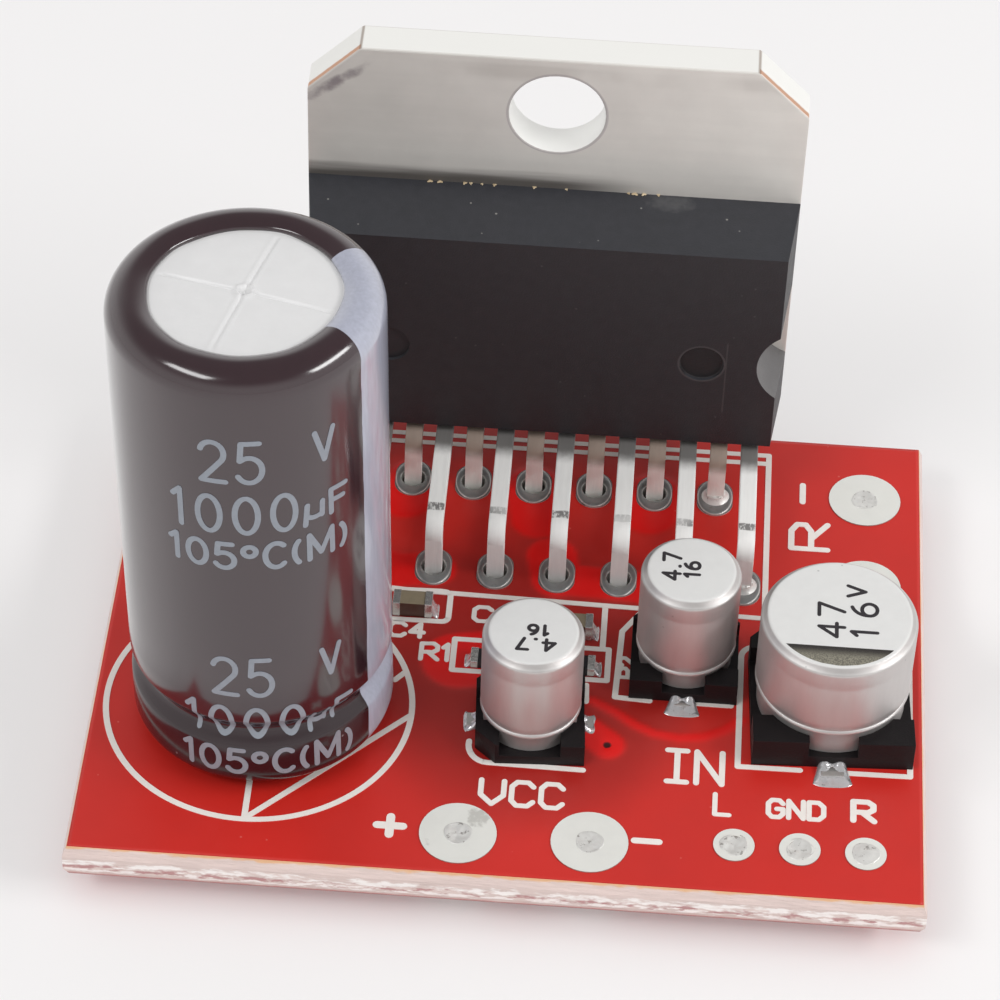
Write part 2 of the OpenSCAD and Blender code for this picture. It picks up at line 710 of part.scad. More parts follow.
circuit_board();
lead_eyelets();
main_cap_eyelets();
wire_pad(power_plus_at);  // power_pad_plus
wire_pad(power_minus_at);  // power_pad_minus
input_pad(input_left_at);  // input_pad_left
input_pad(input_ground_at);  // input_pad_ground
input_pad(input_right_at);  // input_pad_right
wire_pad(right_minus_at);  // speaker_pad_right_minus
wire_pad(right_plus_at);  // speaker_pad_right_plus
wire_pad(left_minus_at);  // speaker_pad_left_minus
wire_pad(left_plus_at);  // speaker_pad_left_plus
package_body();
heat_tab();
for (i = [0:lead_count - 1])
    package_lead(i);
main_cap_can();
main_cap_sleeve();
main_cap_bung();
main_cap_lead(main_cap_plus_at);  // main_cap_lead_plus
main_cap_lead(main_cap_minus_at);  // main_cap_lead_minus
small_can(front_can_at, small_kind);  // front_can
can_base(front_can_at, front_can_turn, small_kind);  // front_can_base
can_terminal(front_can_at, front_can_turn, small_kind, 1);  // front_can_terminal_plus
can_terminal(front_can_at, front_can_turn, small_kind, -1);  // front_can_terminal_minus
small_can(middle_can_at, small_kind);  // middle_can
can_base(middle_can_at, plus_back, small_kind);  // middle_can_base
can_terminal(middle_can_at, plus_back, small_kind, 1);  // middle_can_terminal_plus
can_terminal(middle_can_at, plus_back, small_kind, -1);  // middle_can_terminal_minus
small_can(right_can_at, large_kind);  // right_can
can_base(right_can_at, plus_back + right_can_turn, large_kind);  // right_can_base
can_terminal(right_can_at, plus_back + right_can_turn, large_kind, 1);  // right_can_terminal_plus
can_terminal(right_can_at, plus_back + right_can_turn, large_kind, -1);  // right_can_terminal_minus
ceramic(left_ceramic_at);  // left_ceramic
chip_ends(left_ceramic_at, ceramic_h);  // left_ceramic_ends
ceramic(right_ceramic_at);  // right_ceramic
chip_ends(right_ceramic_at, ceramic_h);  // right_ceramic_ends
resistor(left_resistor_at);  // left_resistor
chip_ends(left_resistor_at, resistor_h);  // left_resistor_ends
resistor(right_resistor_at);  // right_resistor
chip_ends(right_resistor_at, resistor_h);  // right_resistor_ends
underside_solder();
pad_solder();
terminal_solder();
chip_solder();
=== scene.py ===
"""Dresses a packed audio amplifier board: mask, lettering, solder, sleeve, metal finishes and a studio stage.

Lengths in this file are millimetres in the frame's own axes: X to the right, Y to the back and Z up.
They turn into Blender's metres where a mesh, a lamp or the camera is made.
"""

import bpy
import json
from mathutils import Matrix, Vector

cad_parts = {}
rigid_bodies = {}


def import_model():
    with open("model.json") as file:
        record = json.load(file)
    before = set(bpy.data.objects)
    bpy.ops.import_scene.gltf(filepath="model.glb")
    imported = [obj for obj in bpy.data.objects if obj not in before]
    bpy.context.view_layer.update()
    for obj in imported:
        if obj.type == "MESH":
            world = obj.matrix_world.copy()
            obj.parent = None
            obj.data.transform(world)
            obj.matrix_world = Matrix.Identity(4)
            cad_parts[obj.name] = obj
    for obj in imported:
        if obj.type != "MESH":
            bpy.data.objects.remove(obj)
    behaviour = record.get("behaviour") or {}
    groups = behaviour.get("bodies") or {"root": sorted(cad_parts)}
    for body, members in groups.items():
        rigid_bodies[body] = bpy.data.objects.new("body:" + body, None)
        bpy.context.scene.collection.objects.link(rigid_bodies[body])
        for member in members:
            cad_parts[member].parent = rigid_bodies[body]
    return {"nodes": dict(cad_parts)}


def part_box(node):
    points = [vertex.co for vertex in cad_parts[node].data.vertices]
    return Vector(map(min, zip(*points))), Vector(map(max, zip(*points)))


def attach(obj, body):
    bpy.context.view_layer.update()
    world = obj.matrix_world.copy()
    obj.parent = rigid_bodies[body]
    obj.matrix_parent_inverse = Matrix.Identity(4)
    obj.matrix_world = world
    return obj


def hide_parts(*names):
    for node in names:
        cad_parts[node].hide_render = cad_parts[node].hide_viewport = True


bl_info = {
    "name": "Amplifier Board Dresser",
    "version": (1, 0, 0),
    "blender": (4, 5, 0),
    "location": "3D View > Sidebar > Amplifier",
    "description": "Finishes, lettering, solder and stage for a packed audio amplifier board",
    "category": "Object",
}

import json
import math
from functools import cached_property

import bmesh
import bpy
import numpy as np
from bpy.props import FloatProperty, FloatVectorProperty, PointerProperty
from mathutils import Matrix, Vector

for leftover in list(bpy.data.objects):
    bpy.data.objects.remove(leftover)
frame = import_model()
bpy.context.view_layer.update()

MM = 0.001


def paint(red, green, blue):
    """Scene-linear colour of an sRGB colour written as three numbers up to 255."""
    share = np.array([red, green, blue]) / 255
    return tuple(np.where(share <= 0.04045, share / 12.92, ((share + 0.055) / 1.055) ** 2.4))


def colour(name, description, *srgb):
    return FloatVectorProperty(name=name, description=description, subtype="COLOR", size=3, min=0, max=1,
                               default=paint(*srgb))


def length(name, description, millimetres):
    return FloatProperty(name=name, description=description, unit="LENGTH", min=0, precision=5,
                         default=millimetres * MM)


def share(name, description, default):
    return FloatProperty(name=name, description=description, subtype="FACTOR", min=0, max=1, default=default)


class BoardLook(bpy.types.PropertyGroup):
    mask: colour("Mask", "Red of the mask over bare laminate", 203, 40, 32)
    copper: colour("Mask over copper", "Red of the mask over a copper run", 230, 14, 10)
    laminate: colour("Laminate", "Colour of the board's broken edge", 226, 206, 200)
    silk: colour("Lettering", "White of the printed lines and letters", 238, 232, 226)
    pad: colour("Wire pads", "Tin of the wire pads", 233, 233, 227)
    ring: colour("Lead lands", "Tin of the lands around the package leads", 146, 148, 147)
    relief: length("Copper relief", "Height of a copper run under the mask", 0.035)
    silk_line: length("Line width", "Width of a printed outline", 0.24)


class PackageLook(bpy.types.PropertyGroup):
    moulding: colour("Moulding", "Black of the moulded body", 37, 35, 38)
    tab: colour("Tab", "Tinned copper of the tab", 226, 222, 216)
    core: colour("Cut edge", "Bare copper at the tab's cut corners", 190, 128, 84)
    lead: colour("Leads", "Tin of the package leads", 250, 249, 246)


class CapacitorLook(bpy.types.PropertyGroup):
    sleeve: colour("Sleeve", "Shrunk sleeve of the tall capacitor", 46, 26, 32)
    stripe: colour("Stripe", "Stripe on the minus side", 168, 171, 186)
    sleeve_print: colour("Sleeve print", "Rating printed on the sleeve", 140, 146, 155)
    can: colour("Small cans", "Satin aluminium of the small cans", 200, 196, 194)
    can_print: colour("Can print", "Rating printed on the small cans", 46, 42, 46)
    seat: colour("Seats", "Plastic seats of the small cans", 18, 13, 15)
    print_line: length("Print width", "Stroke width of the sleeve print", 0.22)
    sleeve_rough: share("Sleeve roughness", "Roughness of the sleeve", 0.13)


class StageLook(bpy.types.PropertyGroup):
    floor: colour("Floor", "Pale floor and background", 241, 240, 240)
    fill: FloatProperty(name="Fill", description="Strength of the even light from all round", min=0, default=0.8)
    ceiling: share("Ceiling", "Brightness of the ceiling in mirrors, next to the backdrop's", 0.32)
    key: FloatProperty(name="Key", description="Power of the key lamp, in watts", min=0, default=0.33)


class AmplifierLook(bpy.types.PropertyGroup):
    board: PointerProperty(type=BoardLook)
    package: PointerProperty(type=PackageLook)
    capacitor: PointerProperty(type=CapacitorLook)
    stage: PointerProperty(type=StageLook)


class Value:
    """A shader socket in Python arithmetic: every operation on it adds one Math node."""

    def __init__(self, finish, socket):
        self.finish, self.socket = finish, socket

    def math(self, operation, *others):
        return self.finish.node("ShaderNodeMath", {"operation": operation}, dict(enumerate((self,) + others)))

    def under(self, operation, other):
        return self.finish.node("ShaderNodeMath", {"operation": operation}, {0: other, 1: self})

    def __add__(self, other): return self.math("ADD", other)
    def __radd__(self, other): return self.math("ADD", other)
    def __sub__(self, other): return self.math("SUBTRACT", other)
    def __rsub__(self, other): return self.under("SUBTRACT", other)
    def __mul__(self, other): return self.math("MULTIPLY", other)
    def __rmul__(self, other): return self.math("MULTIPLY", other)
    def __truediv__(self, other): return self.math("DIVIDE", other)
    def __abs__(self): return self.math("ABSOLUTE")


class Finish:
    """The nodes of a new material, or of a new world, with patterns measured in millimetres."""

    def __init__(self, name, library=None):
        self.owner = (bpy.data.materials if library is None else library).new(name)
        self.owner.use_nodes = True
        self.tree = self.owner.node_tree
        self.tree.nodes.clear()

    @cached_property
    def place(self):
        """The surface point, from the object's own origin."""
        spot = self.node("ShaderNodeTexCoord", out="Object")
        return self.node("ShaderNodeVectorMath", {"operation": "SCALE"}, {0: spot, "Scale": 1 / MM})

    def node(self, kind, settings=None, inputs=None, out=0):
        """Adds one node: its settings first, then the values or links of its sockets."""
        made = self.tree.nodes.new(kind)
        for key, value in (settings or {}).items():
            setattr(made, key, value)
        for key, value in (inputs or {}).items():
            if isinstance(value, Value):
                self.tree.links.new(value.socket, made.inputs[key])
            else:
                made.inputs[key].default_value = value
        return Value(self, made.outputs[out]) if made.outputs else None

    def split(self, vector):
        """X, Y and Z of a vector."""
        parts = self.node("ShaderNodeSeparateXYZ", inputs={0: vector}).socket.node.outputs
        return [Value(self, part) for part in parts]

    def axes(self):
        """X, Y and Z of the surface point."""
        return self.split(self.place)

    def facing(self):
        """X, Y and Z of the surface normal."""
        return self.split(self.node("ShaderNodeNewGeometry", out="Normal"))

    def along(self, origin, direction):
        """Distance of the surface point from an origin, along a direction."""
        offset = self.node("ShaderNodeVectorMath", {"operation": "SUBTRACT"}, {0: self.place, 1: tuple(origin)})
        return self.node("ShaderNodeVectorMath", {"operation": "DOT_PRODUCT"}, {0: offset, 1: tuple(direction)},
                         out="Value")

    def noise(self, size, detail=2.0, stretch=(1, 1, 1), roughness=0.55):
        """Cloudy pattern from 0 to 1 with blotches of the given size, drawn out along an axis by stretch."""
        scaled = self.node("ShaderNodeVectorMath", {"operation": "DIVIDE"}, {0: self.place, 1: tuple(stretch)})
        return self.node("ShaderNodeTexNoise", inputs={"Vector": scaled, "Scale": 1 / size, "Detail": detail,
                                                       "Roughness": roughness})

    def specks(self, spacing, size):
        """1 inside scattered round specks of the given size, one per cell of the spacing."""
        far = self.node("ShaderNodeTexVoronoi", inputs={"Vector": self.place, "Scale": 1 / spacing})
        return self.ramp(far, size / spacing, 0.5 * size / spacing)

    def ramp(self, value, start, end):
        """Smooth step from 0 at start to 1 at end, either of which may be the larger."""
        low, high, at_low, at_high = (start, end, 0, 1) if start < end else (end, start, 1, 0)
        return self.node("ShaderNodeMapRange", {"interpolation_type": "SMOOTHSTEP"},
                         {0: value, 1: low, 2: high, 3: at_low, 4: at_high})

    def band(self, value, middle, half, soft):
        """1 within half of the middle, falling to 0 over soft."""
        return self.ramp(abs(value - middle), half + soft, half)

    @staticmethod
    def rgba(tint):
        """A colour socket as it is, or three numbers with full alpha."""
        return tint if isinstance(tint, Value) else (*tint, 1)

    def mix(self, factor, first, second):
        """Blend of two colours."""
        return self.node("ShaderNodeMix", {"data_type": "RGBA"},
                         {0: factor, 6: self.rgba(first), 7: self.rgba(second)}, out=2)

    def coats(self, base, *layers):
        """A colour under layers that are laid on in turn, each of them a share and an sRGB colour."""
        for factor, srgb in layers:
            base = self.mix(factor, base, paint(*srgb))
        return base

    def shade(self, tint, amount):
        """A colour times a grey amount."""
        grey = self.node("ShaderNodeCombineXYZ", inputs={0: amount, 1: amount, 2: amount})
        return self.node("ShaderNodeMix", {"data_type": "RGBA", "blend_type": "MULTIPLY"},
                         {0: 1, 6: self.rgba(tint), 7: grey}, out=2)

    def close(self, base, rough, metal=0.0, grain=None, depth=0.01, **fixed):
        """Ends the material: base colour, roughness, metal share, a grain that is depth high, and fixed sockets."""
        inputs = {"Base Color": self.rgba(base), "Roughness": rough, "Metallic": metal}
        if grain is not None:
            inputs["Normal"] = self.node("ShaderNodeBump", inputs={"Height": grain, "Strength": 1.0,
                                                                   "Distance": depth * MM})
        inputs.update({key.replace("_", " "): value for key, value in fixed.items()})
        shader = self.node("ShaderNodeBsdfPrincipled", inputs=inputs)
        self.node("ShaderNodeOutputMaterial", inputs={"Surface": shader})
        return self.owner


def squares(first, second):
    """Sum of the squares of two shader values."""
    return first * first + second * second


def plain_finish(name, tint, shades, rough, grain=None, **others):
    """Finish of one colour in cloudy shades.

    Shades, and a roughness that varies, hold the lowest value, the span above it and the settings of a noise; grain
    holds the size and the depth of one.
    """
    f = Finish(name)

    def cloudy(low, span, *noise):
        return low + span * f.noise(*noise)
    base = f.shade(tint, cloudy(*shades))
    if isinstance(rough, tuple):
        rough = cloudy(*rough)
    if grain:
        others.update(grain=f.noise(grain[0], 3), depth=grain[1])
    return f.close(base, rough, **others)


def box_mm(node):
    """Lowest and highest corner of a frame node."""
    low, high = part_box(node)
    return np.array(low) / MM, np.array(high) / MM


def middle(node):
    """Middle of a frame node's box."""
    return sum(box_mm(node)) / 2


def size_mm(node):
    """Lengths of a frame node's box along X, Y and Z."""
    low, high = box_mm(node)
    return high - low


def quads(rows, columns, wrap=False):
    """Corner numbers of the cells of a grid of points counted row by row; wrap joins the last column to the first."""
    row, column = np.meshgrid(np.arange(rows - 1), np.arange(columns if wrap else columns - 1), indexing="ij")
    after = (column + 1) % columns
    corners = [row * columns + column, row * columns + after, (row + 1) * columns + after,
               (row + 1) * columns + column]
    return np.stack(corners, -1).reshape(-1, 4)


def plate(upper, lower, rows, columns):
    """Closed shell from two like grids of points: the upper cells, the lower ones turned over, and walls between."""
    rim = np.concatenate([np.arange(columns), np.arange(1, rows) * columns + columns - 1,
                          (rows - 1) * columns + np.arange(columns - 2, -1, -1),
                          np.arange(rows - 2, 0, -1) * columns])
    after = np.roll(rim, -1)
    below = rows * columns
    walls = np.stack([rim, after, after + below, rim + below], -1)
    cells = quads(rows, columns)
    return np.concatenate([upper, lower]), np.concatenate([cells, cells[:, ::-1] + below, walls])


def build_mesh(name, shells, attribute=None, printed=False):
    """One mesh from shells of points and quads, with normals outwards.

    Doubles are merged and the faces are smooth, except in print, whose strokes stay apart and flat.
    """
    starts = np.cumsum([0] + [len(points) for points, _ in shells])
    points = np.concatenate([points for points, _ in shells])
    faces = np.concatenate([cells + start for (_, cells), start in zip(shells, starts)])
    mesh = bpy.data.meshes.new(name)
    mesh.vertices.add(len(points))
    mesh.vertices.foreach_set("co", (points * MM).astype(np.float32).ravel())
    mesh.loops.add(faces.size)
    mesh.loops.foreach_set("vertex_index", faces.astype(np.int32).ravel())
    mesh.polygons.add(len(faces))
    mesh.polygons.foreach_set("loop_start", np.arange(0, faces.size, 4, dtype=np.int32))
    mesh.polygons.foreach_set("use_smooth", np.full(len(faces), not printed))
    if attribute is not None:
        label, values = attribute
        mesh.attributes.new(label, "FLOAT", "POINT").data.foreach_set("value", values.astype(np.float32).ravel())
    mesh.update(calc_edges=True)
    work = bmesh.new()
    work.from_mesh(mesh)
    if not printed:
        bmesh.ops.remove_doubles(work, verts=work.verts, dist=1e-4 * MM)
    bmesh.ops.recalc_face_normals(work, faces=work.faces)
    work.to_mesh(mesh)
    work.free()
    return mesh


def placed(name, data):
    """An object at the origin, linked to the scene."""
    made = bpy.data.objects.new(name, data)
    bpy.context.scene.collection.objects.link(made)
    return made


def make_piece(name, shells, material, replaces=(), attribute=None, printed=False):
    """One mesh object from shells, riding on the board."""
    made = placed(name, build_mesh(name, shells, attribute, printed))
    made.data.materials.append(material)
    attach(made, "root")
    if replaces:
        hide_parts(*replaces)
    return made


def dress(material, *nodes):
    """Gives frame nodes a material in their own slot."""
    for node in nodes:
        frame["nodes"][node].material_slots[0].material = material


def soften(width, *nodes):
    """Rounds the edges of frame nodes by live modifiers; their meshes stay as packed."""
    for node in nodes:
        target = frame["nodes"][node]
        target.modifiers.new("Joined corners", "WELD").merge_threshold = 1e-4 * MM
        bevel = target.modifiers.new("Rounded edges", "BEVEL")
        bevel.width = width * MM
        bevel.segments = 2
        bevel.limit_method = "ANGLE"
        bevel.angle_limit = math.radians(40)
        even = target.modifiers.new("Even shading", "WEIGHTED_NORMAL")
        even.weight = 100
        even.keep_sharp = True


def turned(profile, at, steps=72, swell=None):
    """Turned shell: each profile point (radius, height) is carried round a standing axis at a place.

    swell(radius, height, angle) may return a change of radius and of height for every point of the grid.
    """
    profile = np.asarray(profile, float)
    angle = np.arange(steps) * 2 * np.pi / steps
    radius, angle = np.meshgrid(profile[:, 0], angle, indexing="ij")
    height = np.repeat(profile[:, 1:], steps, axis=1)
    if swell:
        grow, rise = swell(radius, height, angle)
        radius, height = radius + grow, height + rise
    points = np.stack([at[0] + radius * np.cos(angle), at[1] + radius * np.sin(angle), at[2] + height], -1)
    return points.reshape(-1, 3), quads(len(profile), steps, wrap=True)


def arc(at, radius, start, end, steps=10):
    """Points of a round part of a profile or line, from a start to an end angle in degrees."""
    angle = np.radians(np.linspace(start, end, steps))
    across, up = (radius, radius) if np.isscalar(radius) else radius
    return np.stack([at[0] + across * np.cos(angle), at[1] + up * np.sin(angle)], -1)


def joined(*lines):
    """One line from several lists of points."""
    return np.concatenate([np.atleast_2d(np.asarray(line, float)) for line in lines])


def stroke(line, width, thick, step=0.15):
    """Flat stroke: a box profile carried along a line cut into short steps, with round ends.

    The half width follows a half circle over the last half width at both ends. The result holds plane X, plane Y
    and height for four corners at every station.
    """
    line = np.asarray(line, float)
    run = np.concatenate([[0], np.cumsum(np.hypot(*np.diff(line, axis=0).T))])
    stations = np.unique(np.round(np.concatenate([np.linspace(0, run[-1], int(run[-1] / step) + 2), run]), 5))
    path = np.stack([np.interp(stations, run, line[:, k]) for k in (0, 1)], -1)
    heading = np.gradient(path, axis=0)
    heading /= np.linalg.norm(heading, axis=1, keepdims=True)
    turn = np.radians([86.0, 60.0, 30.0])[:, None]
    half = width / 2
    path = np.concatenate([path[0] - heading[0] * half * np.sin(turn), path,
                           path[-1] + heading[-1] * half * np.sin(turn[::-1])])
    heading = np.concatenate([np.repeat(heading[:1], 3, 0), heading, np.repeat(heading[-1:], 3, 0)])
    taper = np.concatenate([np.cos(turn[:, 0]), np.ones(len(stations)), np.cos(turn[::-1, 0])]) * half
    side = np.stack([-heading[:, 1], heading[:, 0]], -1) * taper[:, None]
    flat = np.stack([path - side, path - side, path + side, path + side], 1)
    lift = np.broadcast_to([0, thick, thick, 0], (len(path), 4))
    return np.concatenate([flat, lift[..., None]], -1)


def strokes_of(line, width, thick):
    """Strokes of a line cut at every corner sharper than 30 degrees, so that each corner gets round ends.

    A closed loop is also cut halfway, so that no stroke runs into itself.
    """
    line = np.asarray(line, float)
    line = line[np.r_[True, np.hypot(*np.diff(line, axis=0).T) > 1e-3]]
    heading = np.arctan2(*np.diff(line, axis=0).T[::-1])
    bend = abs((np.diff(heading) + np.pi) % (2 * np.pi) - np.pi)
    cuts = np.flatnonzero(bend > np.radians(30)) + 1
    if np.allclose(line[0], line[-1]):
        cuts = np.union1d(cuts, [len(line) // 2])
    return [stroke(line[start:end + 1], width, thick) for start, end in zip([0, *cuts], [*cuts, len(line) - 1])]


def laid(strokes, carry):
    """Shells of strokes whose plane points and heights a carry function puts into space.

    Neighbours in the list differ a little in thickness, so that no two faces coincide where strokes cross.
    """
    shells = []
    for place, corners in enumerate(strokes):
        count = len(corners)
        x, y, lift = np.moveaxis(corners, -1, 0)
        points = carry(x, y, lift * (1 + 0.06 * (place % 11))).reshape(-1, 3)
        ends = [[0, 1, 2, 3], [4 * count - 1, 4 * count - 2, 4 * count - 3, 4 * count - 4]]
        shells.append((points, np.concatenate([quads(count, 4, wrap=True), ends])))
    return shells


# Letters of the board print on a cell one high: straight strokes with cut corners, as width and lines.
BOARD_LETTERS = {
    "V": (0.8, [[(0, 1), (0, 0.38), (0.4, 0), (0.8, 0.38), (0.8, 1)]]),
    "C": (0.75, [[(0.75, 0.82), (0.57, 1), (0.18, 1), (0, 0.8), (0, 0.2), (0.18, 0), (0.57, 0), (0.75, 0.18)]]),
    "I": (0.55, [[(0, 1), (0.55, 1)], [(0.275, 1), (0.275, 0)], [(0, 0), (0.55, 0)]]),
    "N": (0.72, [[(0, 0), (0, 1)], [(0, 1), (0.72, 0)], [(0.72, 0), (0.72, 1)]]),
    "L": (0.6, [[(0, 1), (0, 0), (0.6, 0)]]),
    "G": (0.72, [[(0.72, 0.8), (0.54, 1), (0.18, 1), (0, 0.8), (0, 0.2), (0.18, 0), (0.54, 0), (0.72, 0.2),
                  (0.72, 0.48), (0.42, 0.48)]]),
    "D": (0.72, [[(0, 0), (0, 1), (0.48, 1), (0.72, 0.76), (0.72, 0.24), (0.48, 0), (0, 0)]]),
    "R": (0.75, [[(0, 0), (0, 1), (0.55, 1), (0.75, 0.84), (0.75, 0.6), (0.55, 0.45), (0, 0.45)],
                 [(0.32, 0.45), (0.78, 0)]]),
    "1": (0.3, [[(0, 0.78), (0.2, 1), (0.2, 0)]]),
    "2": (0.6, [[(0, 0.85), (0.15, 1), (0.45, 1), (0.6, 0.85), (0.6, 0.65), (0, 0), (0.6, 0)]]),
    "4": (0.65, [[(0.48, 0), (0.48, 1), (0, 0.35), (0.65, 0.35)]]),
    "+": (0.8, [[(0, 0.5), (0.8, 0.5)], [(0.4, 0.1), (0.4, 0.9)]]),
    "-": (0.8, [[(0, 0.5), (0.8, 0.5)]]),
}
# Letters of the ratings printed on the capacitors: round strokes on the same cell.
RATING_LETTERS = {
    "0": (0.56, [arc((0.28, 0.5), (0.28, 0.5), 90, 450, 33)]),
    "1": (0.3, [[(0, 0.8), (0.2, 1), (0.2, 0)]]),
    "2": (0.55, [joined(arc((0.27, 0.72), (0.27, 0.28), 165, -35, 17), (0, 0)), [(0, 0), (0.55, 0)]]),
    "4": (0.62, [[(0.45, 0), (0.45, 1)], [(0.45, 1), (0, 0.3)], [(0, 0.3), (0.62, 0.3)]]),
    "5": (0.55, [[(0.5, 1), (0.1, 1)], [(0.1, 1), (0.06, 0.56)],
                 joined((0.06, 0.56), arc((0.26, 0.32), (0.29, 0.32), 110, -150, 21))]),
    "6": (0.55, [arc((0.275, 0.3), (0.275, 0.3), 0, 360, 29), arc((0.5, 0.34), (0.5, 0.66), 180, 105, 9)]),
    "7": (0.55, [[(0, 1), (0.55, 1)], [(0.55, 1), (0.2, 0)]]),
    ".": (0.1, [[(0.03, 0.02), (0.07, 0.02)]]),
    "V": (0.66, [[(0, 1), (0.33, 0)], [(0.33, 0), (0.66, 1)]]),
    "F": (0.5, [[(0, 0), (0, 1)], [(0, 1), (0.5, 1)], [(0, 0.52), (0.4, 0.52)]]),
    "u": (0.5, [[(0.02, -0.28), (0.08, 0.66)], joined((0.06, 0.3), arc((0.27, 0.2), (0.21, 0.2), 180, 330, 11)),
                [(0.48, 0.66), (0.46, 0)]]),
    "o": (0.36, [arc((0.18, 0.72), (0.18, 0.2), 90, 450, 25)]),
    "C": (0.56, [arc((0.32, 0.5), (0.32, 0.5), 48, 312, 25)]),
    "(": (0.22, [arc((0.42, 0.46), (0.4, 0.6), 132, 228, 11)]),
    ")": (0.22, [arc((-0.2, 0.46), (0.4, 0.6), 48, -48, 11)]),
    "M": (0.74, [[(0, 0), (0, 1)], [(0, 1), (0.37, 0.15)], [(0.37, 0.15), (0.74, 1)], [(0.74, 1), (0.74, 0)]]),
}


def lettering(letters, text, at, height, line_width, thick, width=None, gap=0.28, turn=0.0):
    """Strokes of a word that starts at a place: letters one height tall, squeezed to a total width, and turned."""
    starts = np.cumsum([0.0] + [letters[mark][0] + gap for mark in text])
    squeeze = 1.0 if width is None else width / ((starts[-1] - gap) * height)
    spin = np.radians(turn)
    axes = np.array([[np.cos(spin), np.sin(spin)], [-np.sin(spin), np.cos(spin)]])
    lines = [(np.asarray(line, float) + [start, 0]) * [squeeze * height, height] @ axes + at
             for mark, start in zip(text, starts) for line in letters[mark][1]]
    return [part for line in lines for part in strokes_of(line, line_width, thick)]


# The board's upper face, and the point that board places are counted from: the middle of the rear row of leads.
BOARD_LOW, BOARD_HIGH = box_mm("circuit_board")
BOARD_TOP = BOARD_HIGH[2]
LEADS = [f"lead_{count:02d}" for count in range(1, 16)]
LEAD_T = 0.5
LEAD_PLACES = np.array([[middle(lead)[0], box_mm(lead)[0][1] + LEAD_T / 2] for lead in LEADS])
ROW_AT = LEAD_PLACES[7]
# The lands' thickness, width and length, and how far the board's snapped ridge stands out.
LAND_T, LAND_D, LAND_L = 0.06, 1.5, 2.1
RIDGE_OUT = 0.18
WIRE_PADS = ["power_pad_plus", "power_pad_minus", "speaker_pad_right_minus", "speaker_pad_right_plus",
             "speaker_pad_left_minus", "speaker_pad_left_plus"]
INPUT_PADS = ["input_pad_left", "input_pad_ground", "input_pad_right"]
CAP_LEADS = ["main_cap_lead_plus", "main_cap_lead_minus"]
CERAMICS = ["left_ceramic", "right_ceramic"]
RESISTORS = ["left_resistor", "right_resistor"]

# Copper runs under the mask, from the rear row's middle: two ends and a half width. The small hole lies on one.
VIA_AT = np.array([3.79, -14.17])
BAND = [(3.1, -11.9), (4.0, -12.4), (4.8, -13.0), (5.6, -13.4), (6.6, -13.55), (7.6, -13.4), (8.4, -13.0),
        (9.0, -12.4)]
COPPER_RUNS = np.array(
    [(*a, *b, 0.22) for a, b in zip(BAND, BAND[1:])]
    + [(3.0, -13.5, 3.79, -14.17, 0.72),
       (-5.08, 0.0, -5.3, -1.3, 1.05), (0.0, 0.0, 0.3, -1.9, 1.15), (5.08, 0.0, 4.9, -1.2, 1.15),
       (-9.0, -5.6, -5.6, -5.4, 1.1), (-5.6, -5.4, -3.8, -5.2, 0.95), (1.0, -4.0, 1.27, -5.3, 1.05),
       (1.27, -5.3, 5.4, -5.5, 0.9), (-0.9, -9.9, -2.4, -10.2, 1.5), (6.5, -6.9, 8.4, -4.9, 0.55)])
# The thickness of the mask's coat on the board, how far it sags into the small hole, and the width of that sag.
COAT_T, SAG, SAG_R = 0.012, 0.09, 0.12
# Painted shade on the mask in the board's middle, from the rear row's middle: its centre and half widths.
SHADE_ZONE_AT, SHADE_ZONE_HALF = (0.6, -10.2), (7.0, 8.6)


def copper(x, y):
    """Share of copper below the mask: the distance to the nearest run through a soft step at its edge."""
    start, end, half = COPPER_RUNS[:, 0:2], COPPER_RUNS[:, 2:4], COPPER_RUNS[:, 4]
    point = np.stack([x, y], -1)[..., None, :] - ROW_AT
    along = np.clip(((point - start) * (end - start)).sum(-1) / ((end - start) ** 2).sum(-1), 0, 1)
    gap = np.linalg.norm(point - start - along[..., None] * (end - start), axis=-1) - half
    return 1 / (1 + np.exp(gap.min(-1) / 0.045))


def mask_height(x, y):
    """Upper face of the mask: a thin coat that rises over copper and sags into the small plated hole."""
    relief = bpy.context.scene.amplifier.board.relief / MM
    hole = (x - ROW_AT[0] - VIA_AT[0]) ** 2 + (y - ROW_AT[1] - VIA_AT[1]) ** 2
    return BOARD_TOP + COAT_T + relief * copper(x, y) - SAG * np.exp(-hole / SAG_R ** 2)


def on_board(x, y, lift):
    """Carries strokes counted from the rear row onto the mask."""
    x, y = x + ROW_AT[0], y + ROW_AT[1]
    return np.stack([x, y, mask_height(x, y) + lift], -1)


